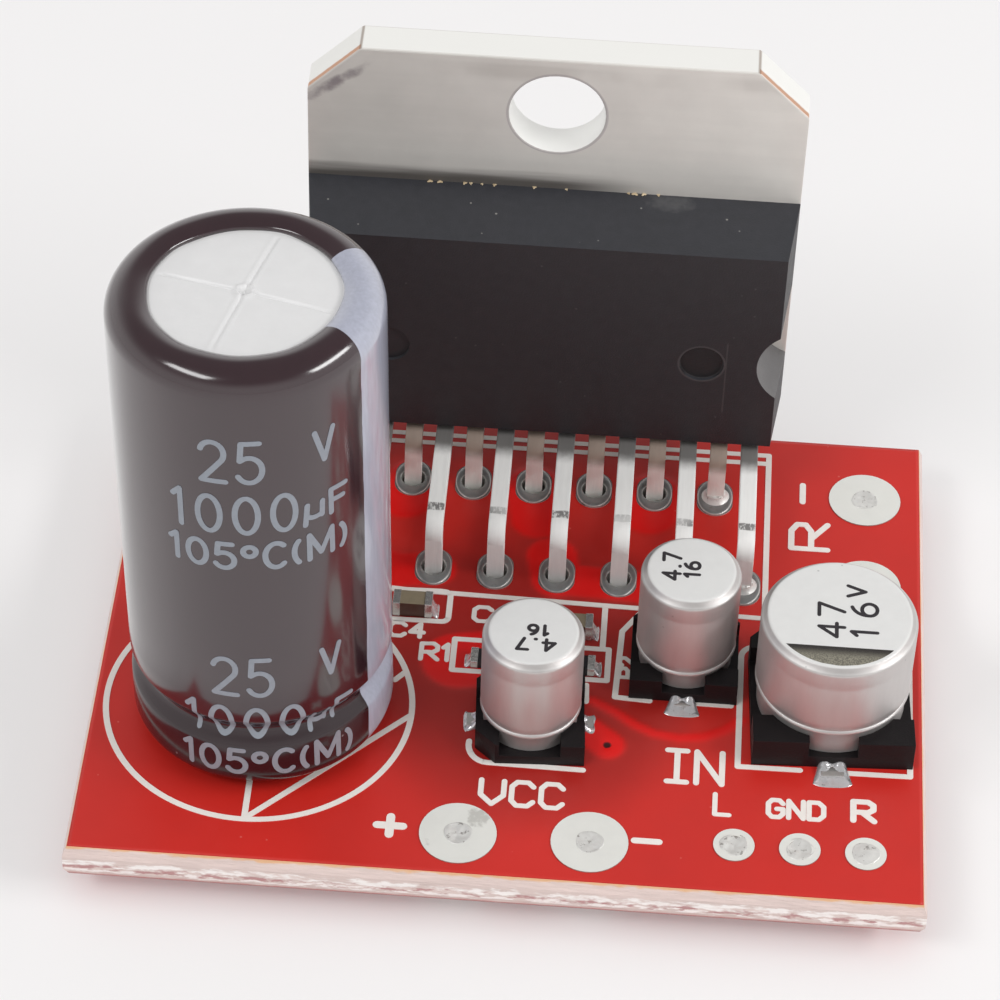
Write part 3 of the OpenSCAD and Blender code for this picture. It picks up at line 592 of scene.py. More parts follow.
class AMPLIFIER_OT_board(bpy.types.Operator):
    """Red mask with copper relief on the board, and finishes for its laminate, lands and eyelets"""
    bl_idname = "amplifier.board"
    bl_label = "Board and Mask"

    def execute(self, context):
        look = context.scene.amplifier.board
        dress(self.laminate_finish(look), "circuit_board")
        dress(self.pad_finish(look), *WIRE_PADS, *INPUT_PADS, "main_cap_eyelets")
        tin = self.ring_finish(look)
        dress(tin, "lead_eyelets")
        self.make_rings(tin)
        self.make_mask(look)
        return {"FINISHED"}

    def make_mask(self, look):
        """Height field over the board's upper face, opened around every plated hole and given a thickness."""
        cell, inset, thick = 0.15, RIDGE_OUT + 0.02, 0.01
        lead_gap, wire_gap, pad_lap = 0.62, 0.7, 0.2
        low, high = BOARD_LOW[:2] + inset, BOARD_HIGH[:2] - inset
        counts = np.ceil((high - low) / cell).astype(int) + 1
        x, y = np.meshgrid(np.linspace(low[0], high[0], counts[0]), np.linspace(low[1], high[1], counts[1]))
        points = np.stack([x, y, mask_height(x, y)], -1).reshape(-1, 3)
        cells = quads(*x.shape)
        holes = [(*place, lead_gap) for place in LEAD_PLACES]
        holes += [(*middle(pad)[:2], size_mm(pad)[0] / 2 - pad_lap) for pad in WIRE_PADS + INPUT_PADS]
        holes = np.array(holes + [(*middle(lead)[:2], wire_gap) for lead in CAP_LEADS])
        centre = points[cells].mean(1)[:, None, :2]
        clear = (np.linalg.norm(centre - holes[:, :2], axis=-1) > holes[:, 2]).all(1)
        mask = make_piece("board_mask_top", [(points, cells[clear])], self.mask_finish(look),
                          attribute=("copper", copper(x, y)))
        coat = mask.modifiers.new("Coat", "SOLIDIFY")
        coat.thickness = thick * MM
        coat.offset = -1

    def mask_finish(self, look):
        """Semi-gloss red coat, brighter over copper and darkened by painted shade in one zone, with clouds, orange
        peel and dust.
        """
        f = Finish("board_mask_red")
        cover = f.node("ShaderNodeAttribute", {"attribute_name": "copper"}, out="Fac")
        x, y, _ = f.axes()
        x, y = x - ROW_AT[0], y - ROW_AT[1]
        painted_shade_zone = squares((x - SHADE_ZONE_AT[0]) / SHADE_ZONE_HALF[0], (y - SHADE_ZONE_AT[1]) / SHADE_ZONE_HALF[1])
        via = squares(x - VIA_AT[0], y - VIA_AT[1])
        base = f.shade(f.mix(cover, look.mask, look.copper), 0.88 + 0.24 * f.noise(4.0, 3))
        # Painted shade: one soft zone of the mask is darkened, less where copper lies under it.
        base = f.shade(base, 1 - 0.33 * f.ramp(painted_shade_zone, 1.2, 0.5) * (1 - 0.9 * cover))
        base = f.coats(base, (0.3 * f.specks(1.3, 0.06), (228, 150, 140)),
                       (f.ramp(via, 0.2 ** 2, 0.1 ** 2), (58, 12, 14)))
        return f.close(base, 0.3 + 0.16 * f.noise(1.2, 3), grain=f.noise(0.35, 2), depth=0.004)

    def laminate_finish(self, look):
        """Red faces, and a pale fibrous scored edge whose ridge is ragged where it was snapped off, with painted
        shade along the edge's lower part.
        """
        f = Finish("laminate")
        level = (f.axes()[2] - BOARD_LOW[2]) / (BOARD_TOP - BOARD_LOW[2])
        fibre = f.noise(0.22, 4, (7, 7, 0.6))
        broken = f.noise(0.42, 4, (2, 2, 0.6))
        ragged = level + 0.4 * (f.noise(0.3, 4, (2.4, 2.4, 1)) - 0.5)
        edge = f.coats(
            f.shade(look.laminate, 0.76 + 0.4 * fibre),
            (f.band(ragged, 0.4, 0.05, 0.05) * f.ramp(broken, 0.44, 0.56) * 0.75, (178, 116, 117)),
            (f.band(ragged, 0.54, 0.06, 0.06) * f.ramp(broken, 0.62, 0.4) * 0.9, (255, 250, 247)),
            (f.band(ragged, 0.28, 0.05, 0.06) * f.ramp(broken, 0.56, 0.46) * 0.9, (253, 244, 241)),
            # Painted shade: below the ridge the edge is pinker and darker.
            (f.ramp(ragged, 0.2, 0.02) * 0.55, (206, 138, 136)),
            # Painted shade: a dark red line along the bottom of the edge.
            (f.ramp(level, 0.08, 0.02) * 0.8, (158, 62, 58)),
            (f.ramp(level + 0.2 * (broken - 0.5), 0.92, 0.98) * 0.75, (230, 172, 110)))
        base = f.mix(f.ramp(abs(f.facing()[2]), 0.5, 0.8), edge, look.mask)
        return f.close(base, 0.62, grain=f.noise(0.12, 4, (4, 4, 0.7)) + 0.6 * ragged, depth=0.05)

    def pad_finish(self, look):
        """Dull tin with faint clouds and grey-brown traces, most of them at one side of the plus pad, and painted
        shade on the steep walls at the pads' edges.
        """
        f = Finish("pad_tin")
        smudge_x, smudge_y = middle("power_pad_plus")[:2] + (0.75, 0.85)
        x, y, _ = f.axes()
        smudge = squares(x - smudge_x, y - smudge_y) + 0.9 * f.noise(0.3, 4)
        base = f.coats(
            f.shade(look.pad, 0.94 + 0.1 * f.noise(0.9, 3)),
            (f.ramp(f.noise(0.8, 4), 0.66, 0.74) * 0.35, (150, 146, 138)),
            (f.ramp(smudge, 0.72, 0.5) * 0.4, (140, 136, 128)),
            # Painted shade: steep walls at the pads' edges are darkened to a brown line.
            (f.ramp(abs(f.facing()[2]), 0.6, 0.3) * 0.7, (112, 92, 84)))
        return f.close(base, 0.36 + 0.14 * f.noise(0.4), metal=0.15, grain=f.noise(0.3, 3), depth=0.006)

    def ring_finish(self, look):
        """Dull tin of the lead lands, with painted highlights on both rims, a crystalline grain and dark traces of
        flux.
        """
        f = Finish("land_tin")
        base = f.coats(
            f.shade(look.ring, 0.78 + 0.4 * f.noise(0.3, 3)),
            # Painted highlight: the sloping faces of both rims are lighter.
            (f.ramp(f.facing()[2], 0.97, 0.7) * (0.4 + 0.6 * f.noise(0.4, 2)), (228, 226, 222)),
            (f.ramp(f.noise(0.5, 3), 0.6, 0.72) * 0.5, (88, 80, 74)))
        return f.close(base, 0.3 + 0.16 * f.noise(0.25), metal=0.55, grain=f.noise(0.22, 3), depth=0.012)

    def make_rings(self, material):
        """Tin that stands in a rounded ring on each lead's land: a turned outline drawn out from front to back."""
        inner, half, foot = 0.5, 0.12, -0.02
        outer = inner + 2 * half
        outline = joined((inner, foot), arc((inner + half, 0.02), (half, 0.07), 180, 0, 13), (outer, foot),
                         (inner, foot))
        points, cells = turned(outline, (0, 0, 0), 48)
        away = np.linalg.norm(points[:, :2], axis=1)
        longer = np.clip((away - inner) / (outer - inner), 0, 1) * (LAND_L - LAND_D) / 2
        points[:, 1] *= 1 + longer / away
        places = np.c_[LEAD_PLACES, np.full(len(LEADS), BOARD_TOP + LAND_T)]
        make_piece("lead_land_tin", [(points + place, cells) for place in places], material)


# Printed outlines on the board, from the rear row's middle.
CAP_CIRCLE = (-10.09, -13.15)
OUTLINES = [
    arc(CAP_CIRCLE, 6.07, 0, 360, 121), [(-10.0, -16.9), (-10.0, -19.15)], [(-9.96, -19.15), (-4.07, -13.32)],
    [(-4.84, -11.47), (-4.45, -11.0)],
    [(-9.84, 2.73), (9.84, 2.76)], [(-9.84, 2.22), (9.84, 2.26)], [(9.84, 2.76), (9.84, -6.76)],
    [(-9.84, 2.73), (-9.84, -6.36)], [(-9.84, -6.36), (9.84, -6.76)],
    joined((-5.9, -6.5), (-3.4, -6.42), arc((-3.25, -6.7), 0.27, 90, 0, 5), (-2.98, -7.85),
           arc((-3.25, -7.85), 0.27, 0, -90, 5), (-5.9, -8.15)),
    [(-5.9, -6.5), (-5.9, -8.15)],
    [(3.35, -6.66), (3.35, -8.95)], [(0.4, -6.6), (0.4, -8.95)],
    [(-2.62, -9.05), (3.61, -9.05)], [(3.61, -9.05), (3.61, -10.75)], [(3.61, -10.75), (-2.62, -10.75)],
    [(-2.62, -10.75), (-2.62, -9.05)],
    [(4.78, -6.93), (4.1, -8.0), (3.97, -11.6), (5.36, -11.68)], [(7.14, -11.65), (8.48, -11.66)],
    [(8.6, -11.66), (8.6, -8.0), (8.0, -6.95)],
    joined((9.6, -8.3), arc((9.55, -8.95), 0.6, 95, 180, 7), (8.95, -14.82), (11.4, -14.8)),
    [(13.2, -14.79), (15.72, -14.76)], [(15.72, -14.76), (15.72, -9.0), (15.1, -8.3)],
    joined(arc((-0.85, -14.6), (0.8, 0.9), 170, 270, 9), (2.91, -15.56)), [(2.8, -11.06), (2.84, -11.95)],
]
# Words printed on the board: text, place, height, line width, width and turn.
WORDS = [
    ("VCC", (-1.0, -17.6), 1.2, 0.22, 3.2, 0), ("IN", (6.2, -15.82), 1.62, 0.24, 2.15, 0),
    ("L", (8.12, -17.35), 1.02, 0.2, 0.56, 0), ("GND", (10.2, -17.28), 0.86, 0.21, 2.15, 0),
    ("R", (13.5, -17.18), 0.96, 0.25, 0.78, 0), ("+", (-4.86, -19.6), 1.12, 0.34, 1.0, 0),
    ("-", (5.08, -19.3), 0.7, 0.28, 0.95, 0), ("R", (12.36, -2.62), 1.5, 0.26, 1.4, 90),
    ("-", (11.7, 0.12), 0.8, 0.26, 1.0, 90), ("+", (11.9, -5.3), 0.9, 0.26, 0.9, 90),
    ("L", (-11.6, -2.5), 1.5, 0.26, 1.0, 90), ("-", (-11.3, 0.12), 0.8, 0.26, 1.0, 90),
    ("C4", (-5.28, -9.05), 0.72, 0.2, 1.36, 0), ("C1", (-1.95, -7.95), 0.78, 0.2, 1.25, 0),
    ("R1", (-3.92, -10.25), 0.86, 0.2, 1.14, 0), ("R2", (4.7, -10.5), 0.62, 0.18, 1.05, 90),
]


class AMPLIFIER_OT_lettering(bpy.types.Operator):
    """White outlines and letters printed on the board"""
    bl_idname = "amplifier.lettering"
    bl_label = "Board Lettering"

    def execute(self, context):
        look = context.scene.amplifier.board
        thick = 0.018
        strokes = [part for outline in OUTLINES for part in strokes_of(outline, look.silk_line / MM, thick)]
        for text, at, height, weight, width, turn in WORDS:
            strokes += lettering(BOARD_LETTERS, text, at, height, weight, thick, width=width, turn=turn)
        ink = plain_finish("board_print", look.silk, (0.93, 0.12, 0.3, 3), 0.6, (0.1, 0.008))
        make_piece("board_print_top", laid(strokes, on_board), ink, printed=True)
        return {"FINISHED"}


# Middles of the round mark and of the bolt hole on the package's front, as X and Z.
MARK_AT = (middle("package_body")[0] + 6.4, box_mm("package_body")[0][2] + 4.4)
HOLE_AT = (middle("heat_tab")[0], box_mm("heat_tab")[1][2] - 2.7)
# The round side notches' distance from the body's middle and their radius, and the cut of the tab's corners.
NOTCH_X, NOTCH_R, TAB_CUT = 10.65, 2.0, 2.1
# Distances of the flakes of flash from the tab's left edge.
FLASH_X = (4.9, 5.3, 6.3, 6.55, 7.0, 7.5, 9.1, 10.4, 12.9, 13.15, 13.5, 14.1)


class AMPLIFIER_OT_package(bpy.types.Operator):
    """Finishes and rounded edges for the power package, its tab and its leads"""
    bl_idname = "amplifier.package"
    bl_label = "Power Package"

    def execute(self, context):
        look = context.scene.amplifier.package
        dress(self.moulding_finish(look), "package_body")
        dress(self.tab_finish(look), "heat_tab")
        dress(self.front_lead_finish(look), *LEADS[0::2])
        dress(self.rear_lead_finish(), *LEADS[1::2])
        soften(0.1, "package_body")
        soften(0.07, "heat_tab")
        soften(0.06, *LEADS)
        self.make_flash()
        return {"FINISHED"}

    def moulding_finish(self, look):
        """Black moulding: spark-eroded grain, upper face painted lighter and bluish as sheen, dust specks mostly on
        it, a rubbed patch, a faint parting line.
        """
        f = Finish("moulding_black")
        x, y, z = f.axes()
        _, front, up = f.facing()
        high = box_mm("package_body")[1]
        top, ahead = f.ramp(up, 0.6, 0.9), f.ramp(front, -0.6, -0.9)
        rubbed = squares((x - high[0] + 5.2) * 0.45, y - high[1] + 1.9) + 0.5 * f.noise(0.35, 4)
        mark = squares(x - MARK_AT[0], z - MARK_AT[1]).math("SQRT")
        line = f.band(x, MARK_AT[0] + 1.0, 0.015, 0.03) * f.band(z, MARK_AT[1] - 0.7, 1.8, 0.2)
        notch = squares(abs(x - middle("package_body")[0]) - NOTCH_X, z - MARK_AT[1])
        notch = f.ramp(notch, (NOTCH_R + 0.06) ** 2, (NOTCH_R + 0.02) ** 2)
        base = f.shade(look.moulding, 0.78 + 0.5 * f.noise(0.5, 3))
        # Painted sheen: the upward faces are lighter and bluish.
        base = f.mix(top, base, f.shade(paint(50, 51, 56), 0.8 + 0.4 * f.noise(0.4, 3)))
        base = f.coats(
            base,
            (0.3 * f.ramp(rubbed, 0.55, 0.2) * top, (112, 112, 112)),
            (0.6 * f.specks(0.85, 0.06) * (0.12 + 0.88 * top), (170, 168, 162)),
            (f.ramp(mark, 0.9, 0.82) * ahead * 0.6, (18, 17, 18)),
            (f.band(mark, 0.92, 0.03, 0.06) * ahead * 0.32, (96, 92, 92)),
            (line * ahead * 0.22, (104, 98, 96)),
            (notch * f.ramp(abs(front), 0.7, 0.5), (104, 102, 102)))
        return f.close(base, 0.44 + 0.16 * f.noise(0.7, 3), grain=f.noise(0.07, 3), depth=0.012)

    def tab_finish(self, look):
        """Tinned copper rolled from side to side, stained at one corner, with bare copper on its cut corners; painted
        shade darkens it towards the left, and painted highlights light its edges and bolt hole.
        """
        f = Finish("tab_tinned")
        x, y, z = f.axes()
        nx, ny, nz = f.facing()
        low, high = box_mm("heat_tab")
        body_top = box_mm("package_body")[1][2]
        front = f.ramp(ny, -0.5, -0.9)
        streak = f.noise(0.35, 3, (18, 1, 1))
        across = (x - low[0]) / (high[0] - low[0])
        rolled = f.band(z + 0.5 * streak, high[2] - 0.45, 0.1, 0.4) * f.ramp(f.noise(3.5, 3), 0.35, 0.65)
        # A patch just above the body, towards the left, is painted darker.
        dark_low_left = f.ramp(z + 0.5 * streak, body_top + 1.15, body_top + 0.4) * f.ramp(across, 0.75, 0.5)
        off_x = x - low[0] - 1.1
        off_z = z - high[2] + 1.75 - 0.75 * off_x
        corner = 0.32 * off_x * off_x + 5 * off_z * off_z + 1.6 * f.noise(0.6, 4)
        hole = squares(x - HOLE_AT[0], z - HOLE_AT[1]).math("SQRT")
        slope = f.ramp(abs(nx * nz), 0.3, 0.45) * f.ramp(hole, 3, 4)
        bare = f.band(y + 0.1 * f.noise(0.4, 2), low[1] + 0.16, 0.12, 0.1)
        fold = f.band(abs(x - HOLE_AT[0]), (high[0] - low[0]) / 2 - TAB_CUT, 0.02, 0.07)
        # Painted shade: the tab grows darker towards its left edge.
        base = f.shade(look.tab, 0.77 + 0.07 * streak + 0.18 * across)
        base = f.coats(
            f.shade(base, 0.88 + 0.22 * f.noise(2.4, 4)),
            # Painted highlight: the edges, which face up and sideways, are painted near white.
            (f.ramp(ny, 0.5, 0.1) * f.ramp(abs(ny), 0.5, 0.2) * 0.9, (240, 240, 236)),
            (rolled * front * 0.24, (140, 132, 124)),
            (dark_low_left * front * 0.9, (78, 73, 69)),
            (f.ramp(corner, 1.6, 0.7) * front * 0.7, (104, 90, 100)),
            (f.specks(2.6, 0.09) * 0.6, (96, 90, 86)))
        base = f.coats(
            f.mix(slope * bare * 0.85, base, look.core),
            (f.band(hole, 1.97, 0.03, 0.05) * front * 0.4, (138, 126, 136)),
            # Painted highlight: the bore of the bolt hole is painted near white.
            (f.ramp(hole, 2.05, 1.95) * f.ramp(abs(ny), 0.6, 0.3), (240, 240, 237)),
            (fold * f.ramp(nz, 0.5, 0.8) * 0.65, (128, 104, 88)))
        return f.close(base, 0.4 + 0.14 * streak, metal=0.05 + 0.2 * front, grain=streak, depth=0.006)

    def front_lead_finish(self, look):
        """Tinned leads, drawn lengthwise: darkened by painted shade of the body where they leave it, and hatched by a
        tool before the bend.
        """
        f = Finish("lead_tin_front")
        y, up = f.axes()[1], f.facing()[2]
        front_row, body_front = LEAD_PLACES[0][1], box_mm("package_body")[0][1]
        streak = f.noise(0.16, 3, (1, 9, 9))
        # Painted shade: the leads are darkened where they run in under the body.
        root = f.ramp(y + 0.2 * f.noise(0.25, 2), body_front - 1.4, body_front - 0.45)
        tool = f.band(y + 0.16 * f.noise(0.5, 2), front_row + 1.0, 0.16, 0.08) * f.ramp(up, 0.5, 0.9)
        hatch = f.ramp(f.noise(0.09, 2, (1, 2.4, 1)), 0.36, 0.54) * f.ramp(f.noise(2.5, 1), 0.25, 0.55)
        base = f.coats(f.shade(look.lead, 0.9 + 0.16 * streak), (root * 0.85, (66, 61, 58)),
                       (tool * (0.2 + 0.6 * hatch), (78, 73, 72)))
        return f.close(base, 0.4 + 0.14 * streak, metal=0.05, grain=streak - tool * hatch, depth=0.01)

    def rear_lead_finish(self):
        """Duller tin on the straight leads, painted warmer and greyer towards the body as its shade."""
        f = Finish("lead_tin_rear")
        # Painted shade: the upper part of the leads, under the body, is darker and warmer.
        low = f.ramp(f.axes()[2], BOARD_TOP + 2.15, BOARD_TOP + 1.5)
        streak = f.noise(0.16, 3, (1, 9, 9))
        base = f.shade(f.mix(low, paint(150, 133, 121), paint(250, 254, 248)), 0.88 + 0.2 * streak)
        return f.close(base, 0.46 + 0.14 * streak, metal=0.05, grain=streak, depth=0.01)

    def make_flash(self):
        """Thin flakes of moulding flash along the seam of body and tab: flattened balls at given distances."""
        low = box_mm("heat_tab")[0]
        body_top = box_mm("package_body")[1][2]
        seed = np.random.default_rng(5)
        shells = []
        for x in FLASH_X:
            size = seed.uniform(0.05, 0.11)
            profile = arc((0, 0), (size, 0.035), -90, 90, 9)
            shells.append(turned(profile, (low[0] + x, low[1] - 0.03, body_top + 0.01), 14,
                                 lambda r, h, a: (r * 0.45 * np.sin(3 * a + size * 90), 0)))
        f = Finish("moulding_flash")
        base = f.mix(f.noise(0.2, 3), paint(236, 222, 190), paint(190, 160, 118))
        make_piece("package_seam_flash", shells, f.close(base, 0.4, metal=0.3))


# The tall capacitor: the can leans about its foot, as it does in the frame.
CAP_R, CAP_L, CAP_LIFT, SLEEVE_T = 5.0, 20.9, 0.5, 0.12
CAP_LEAN_RIGHT, CAP_LEAN_BACK = np.radians(-1.0), np.radians(1.6)
CAP_FOOT_R, CAP_SHOULDER_R = 0.7, 0.9
NECK_Z, NECK_H, NECK_DEPTH = 2.9, 1.7, 0.4
VENT_R, VENT_SINK, VENT_TURN = 3.55, 0.22, np.radians(-14.5)
BUNG_R, BUNG_H = 4.0, 1.8
TURN_RIGHT = np.array([[np.cos(CAP_LEAN_RIGHT), 0, np.sin(CAP_LEAN_RIGHT)], [0, 1, 0],
                       [-np.sin(CAP_LEAN_RIGHT), 0, np.cos(CAP_LEAN_RIGHT)]])
TURN_BACK = np.array([[1, 0, 0], [0, np.cos(CAP_LEAN_BACK), np.sin(CAP_LEAN_BACK)],
                      [0, -np.sin(CAP_LEAN_BACK), np.cos(CAP_LEAN_BACK)]])
CAP_AXES = TURN_RIGHT @ TURN_BACK
CAP_FOOT = np.array([*(middle(CAP_LEADS[0]) + middle(CAP_LEADS[1]))[:2] / 2, BOARD_TOP + CAP_LIFT])


def cap_line(grow):
    """Outer line of the tall can from its foot to the bare disc: round foot, pressed-in neck, side and shoulder."""
    share_up = np.linspace(0, 1, 25)[1:-1]
    neck = np.stack([CAP_R + grow - NECK_DEPTH * (1 - np.cos(2 * np.pi * share_up)) / 2,
                     NECK_Z + NECK_H * (share_up - 0.5)], -1)
    side = np.stack([np.full(18, CAP_R + grow), np.linspace(NECK_Z + NECK_H, CAP_L - 1.4, 18)], -1)
    shoulder = CAP_SHOULDER_R + grow - 0.005
    return joined(arc((CAP_R - CAP_FOOT_R, CAP_FOOT_R), CAP_FOOT_R + grow, -90, 0), neck, side,
                  arc((CAP_R - CAP_SHOULDER_R, CAP_L - CAP_SHOULDER_R), shoulder, 0, 90, 12),
                  (VENT_R + 0.3, CAP_L + grow - 0.06), (VENT_R + 0.1, CAP_L + grow - VENT_SINK * 0.7),
                  (VENT_R, CAP_L + grow - VENT_SINK))


def leaned(shell):
    """Stands a shell made about the origin on the tall can's foot, along its leaning axis."""
    points, cells = shell
    return points @ CAP_AXES.T + CAP_FOOT, cells


# The sleeve's outer line, and its part from the foot to the shoulder, which carries the print.
SLEEVE_LINE = cap_line(SLEEVE_T)
SLEEVE_SIDE = SLEEVE_LINE[9:-13]


def on_sleeve(along, up, lift):
    """Wraps strokes, with X as the way round from the front and Y as the height, onto the sleeve."""
    radius = np.interp(up, SLEEVE_SIDE[:, 1], SLEEVE_SIDE[:, 0]) + lift
    angle = along / (CAP_R + SLEEVE_T)
    return np.stack([radius * np.sin(angle), -radius * np.cos(angle), up], -1) @ CAP_AXES.T + CAP_FOOT


class AMPLIFIER_OT_tall_capacitor(bpy.types.Operator):
    """Sleeve, printed rating, stripe, scored vent and seal of the tall capacitor"""
    bl_idname = "amplifier.tall_capacitor"
    bl_label = "Tall Capacitor"

    def execute(self, context):
        look = context.scene.amplifier.capacitor
        inner = cap_line(0)
        sleeve = joined(SLEEVE_LINE, inner[::-1], SLEEVE_LINE[:1])
        make_piece("main_cap_wrap", [leaned(turned(sleeve, (0, 0, 0), 144, self.shrink))], self.sleeve_finish(look),
                   ["main_cap_sleeve"])
        self.make_vent(inner)
        self.make_print(look)
        dress(plain_finish("seal_rubber", paint(30, 29, 30), (0.8, 0.4, 0.4, 3), 0.7, (0.2, 0.01)), "main_cap_bung")
        tin = plain_finish("wire_tin", paint(205, 203, 198), (0.85, 0.25, 0.2, 3, (1, 1, 8)), 0.3, metal=0.8)
        dress(tin, *CAP_LEADS)
        return {"FINISHED"}

    def shrink(self, radius, height, angle):
        """Slight waves of the shrunk film along the upper rim."""
        rim = np.exp(-((height - CAP_L) / 0.5) ** 2) * (radius < CAP_R - 0.6)
        return rim * (0.02 * np.sin(5 * angle + 1) + 0.012 * np.sin(11 * angle)), 0 * height

    def sleeve_finish(self, look):
        """Glossy brown film, darkened towards the foot by painted shade: a pale stripe by the angle about the axis,
        drawn lines and dust.
        """
        f = Finish("sleeve_film")
        right, back, up = (f.along(CAP_FOOT, CAP_AXES[:, k]) for k in range(3))
        angle = right.math("ARCTAN2", 0 - back) * (180 / math.pi)
        stripe = f.band(angle + 1.2 * (f.noise(1.5, 2) - 0.5), 92.0, 32.0, 0.5)
        nick = f.band(angle + 8 * f.noise(0.3, 2), -62, 1.5, 1.0) * f.band(up, 13.2, 0.35, 0.1)
        drawn = 0.86 + 0.28 * f.noise(0.8, 3, (1, 1, 6))
        # Painted shade: the film grows darker towards the foot.
        film = f.coats(f.shade(look.sleeve, drawn * (0.6 + 0.4 * f.ramp(up, 1.0, 5.0))),
                       (0.5 * f.specks(2.2, 0.07), (150, 140, 138)), (nick, (14, 10, 12)))
        base = f.mix(stripe, film, f.shade(look.stripe, 0.82 + 0.36 * f.noise(0.14, 3, (1, 1, 9))))
        rough = look.sleeve_rough + 0.08 * f.noise(0.6, 3, (1, 1, 5)) + 0.14 * stripe
        return f.close(base, rough, grain=f.noise(2.2, 2, (1, 1, 3)), depth=0.012, IOR=1.5,
                       Coat_Weight=0.25 + 0.75 * f.ramp(up, 2.5, 6.0), Coat_Roughness=0.12, Coat_IOR=1.5)

    def make_vent(self, inner):
        """Bare can: the turned line closed over a disc with two crossed V scores and a dimple in the middle."""
        disc = np.stack([np.linspace(VENT_R - 0.02, 0, 46), np.full(46, CAP_L - VENT_SINK)], -1)
        foot = joined((0, BUNG_H), (BUNG_R, BUNG_H), (BUNG_R, 0.02))

        def bump(distance, width):
            return np.exp(-(distance / width) ** 2)

        def score(radius, height, angle):
            on_disc = (radius < VENT_R - 0.01) & (height > CAP_L - 1)
            x, y = radius * np.cos(angle - VENT_TURN), radius * np.sin(angle - VENT_TURN)
            reach = 1 / (1 + np.exp((radius - VENT_R + 0.25) / 0.04))
            depth = np.maximum(0.06 * bump(x, 0.06), 0.1 * bump(y, 0.06))
            ridge = 0.02 * np.maximum(bump(abs(x) - 0.16, 0.07), bump(abs(y) - 0.16, 0.07))
            dimple = 0.16 * bump(radius, 0.16) - 0.1 * bump(radius - 0.3, 0.1)
            dish = 0.08 * (1 - (radius / VENT_R) ** 2)
            return 0 * radius, on_disc * (dish + (ridge - depth) * reach - dimple)
        material = plain_finish("can_aluminium", paint(225, 225, 225), (0.95, 0.08, 0.7, 3), (0.38, 0.14, 0.3, 3),
                                (0.12, 0.006), metal=0.1)
        make_piece("main_cap_vent", [leaned(turned(joined(foot, inner, disc), (0, 0, 0), 288, score))], material,
                   ["main_cap_can"])

    def make_print(self, look):
        """Rating in three lines, printed twice, one above the other."""
        weight, thick = look.print_line / MM, 0.012
        round_mm = (CAP_R + SLEEVE_T) * math.pi / 180
        strokes = []
        for drop in (0.0, 11.0):
            for text, angle, up, height, width, gap in (
                    ("25", -13.0, 16.12, 1.88, 25.0, 0.28), ("V", 34.2, 16.5, 1.4, 8.6, 0.28),
                    ("1000", -26.6, 13.62, 1.72, 51.5, 0.36), ("u", 28.6, 13.86, 1.0, 8.6, 0.28),
                    ("F", 41.0, 13.74, 1.12, 7.6, 0.28), ("105oC(M)", -29.0, 11.82, 1.2, 77.0, 0.26)):
                strokes += lettering(RATING_LETTERS, text, (angle * round_mm, up - drop), height, weight, thick,
                                     width=width * round_mm, gap=gap)
        ink = plain_finish("sleeve_ink", look.sleeve_print, (0.86, 0.24, 0.25, 3), 0.4)
        make_piece("main_cap_print", laid(strokes, on_sleeve), ink, printed=True)


# Small cans: sizes above the board, and for each can the heights of its rolled edge and foot, its seat's width,
# the heading of its plus side, and the width and reach of the solder at its terminals.
CAN_TOP, CAN_SINK, CAN_NECK_IN, CAN_PRINT_T = 5.4, 0.012, 0.14, 0.008
CANS = {
    "front_can": (1.3, 0.4816, 4.3, 183.0, 1.06, 0.5),
    "middle_can": (1.3, 0.4816, 4.3, 90.0, 1.42, 0.84),
    "right_can": (1.75, 0.6106, 6.35, 92.6, 1.55, 1.08),
}


def on_can(x, y, lift):
    """Carries strokes onto the small cans' tops, a hair into the metal."""
    return np.stack([x, y, BOARD_TOP + CAN_TOP - CAN_SINK - 0.001 + lift + 0 * x], -1)


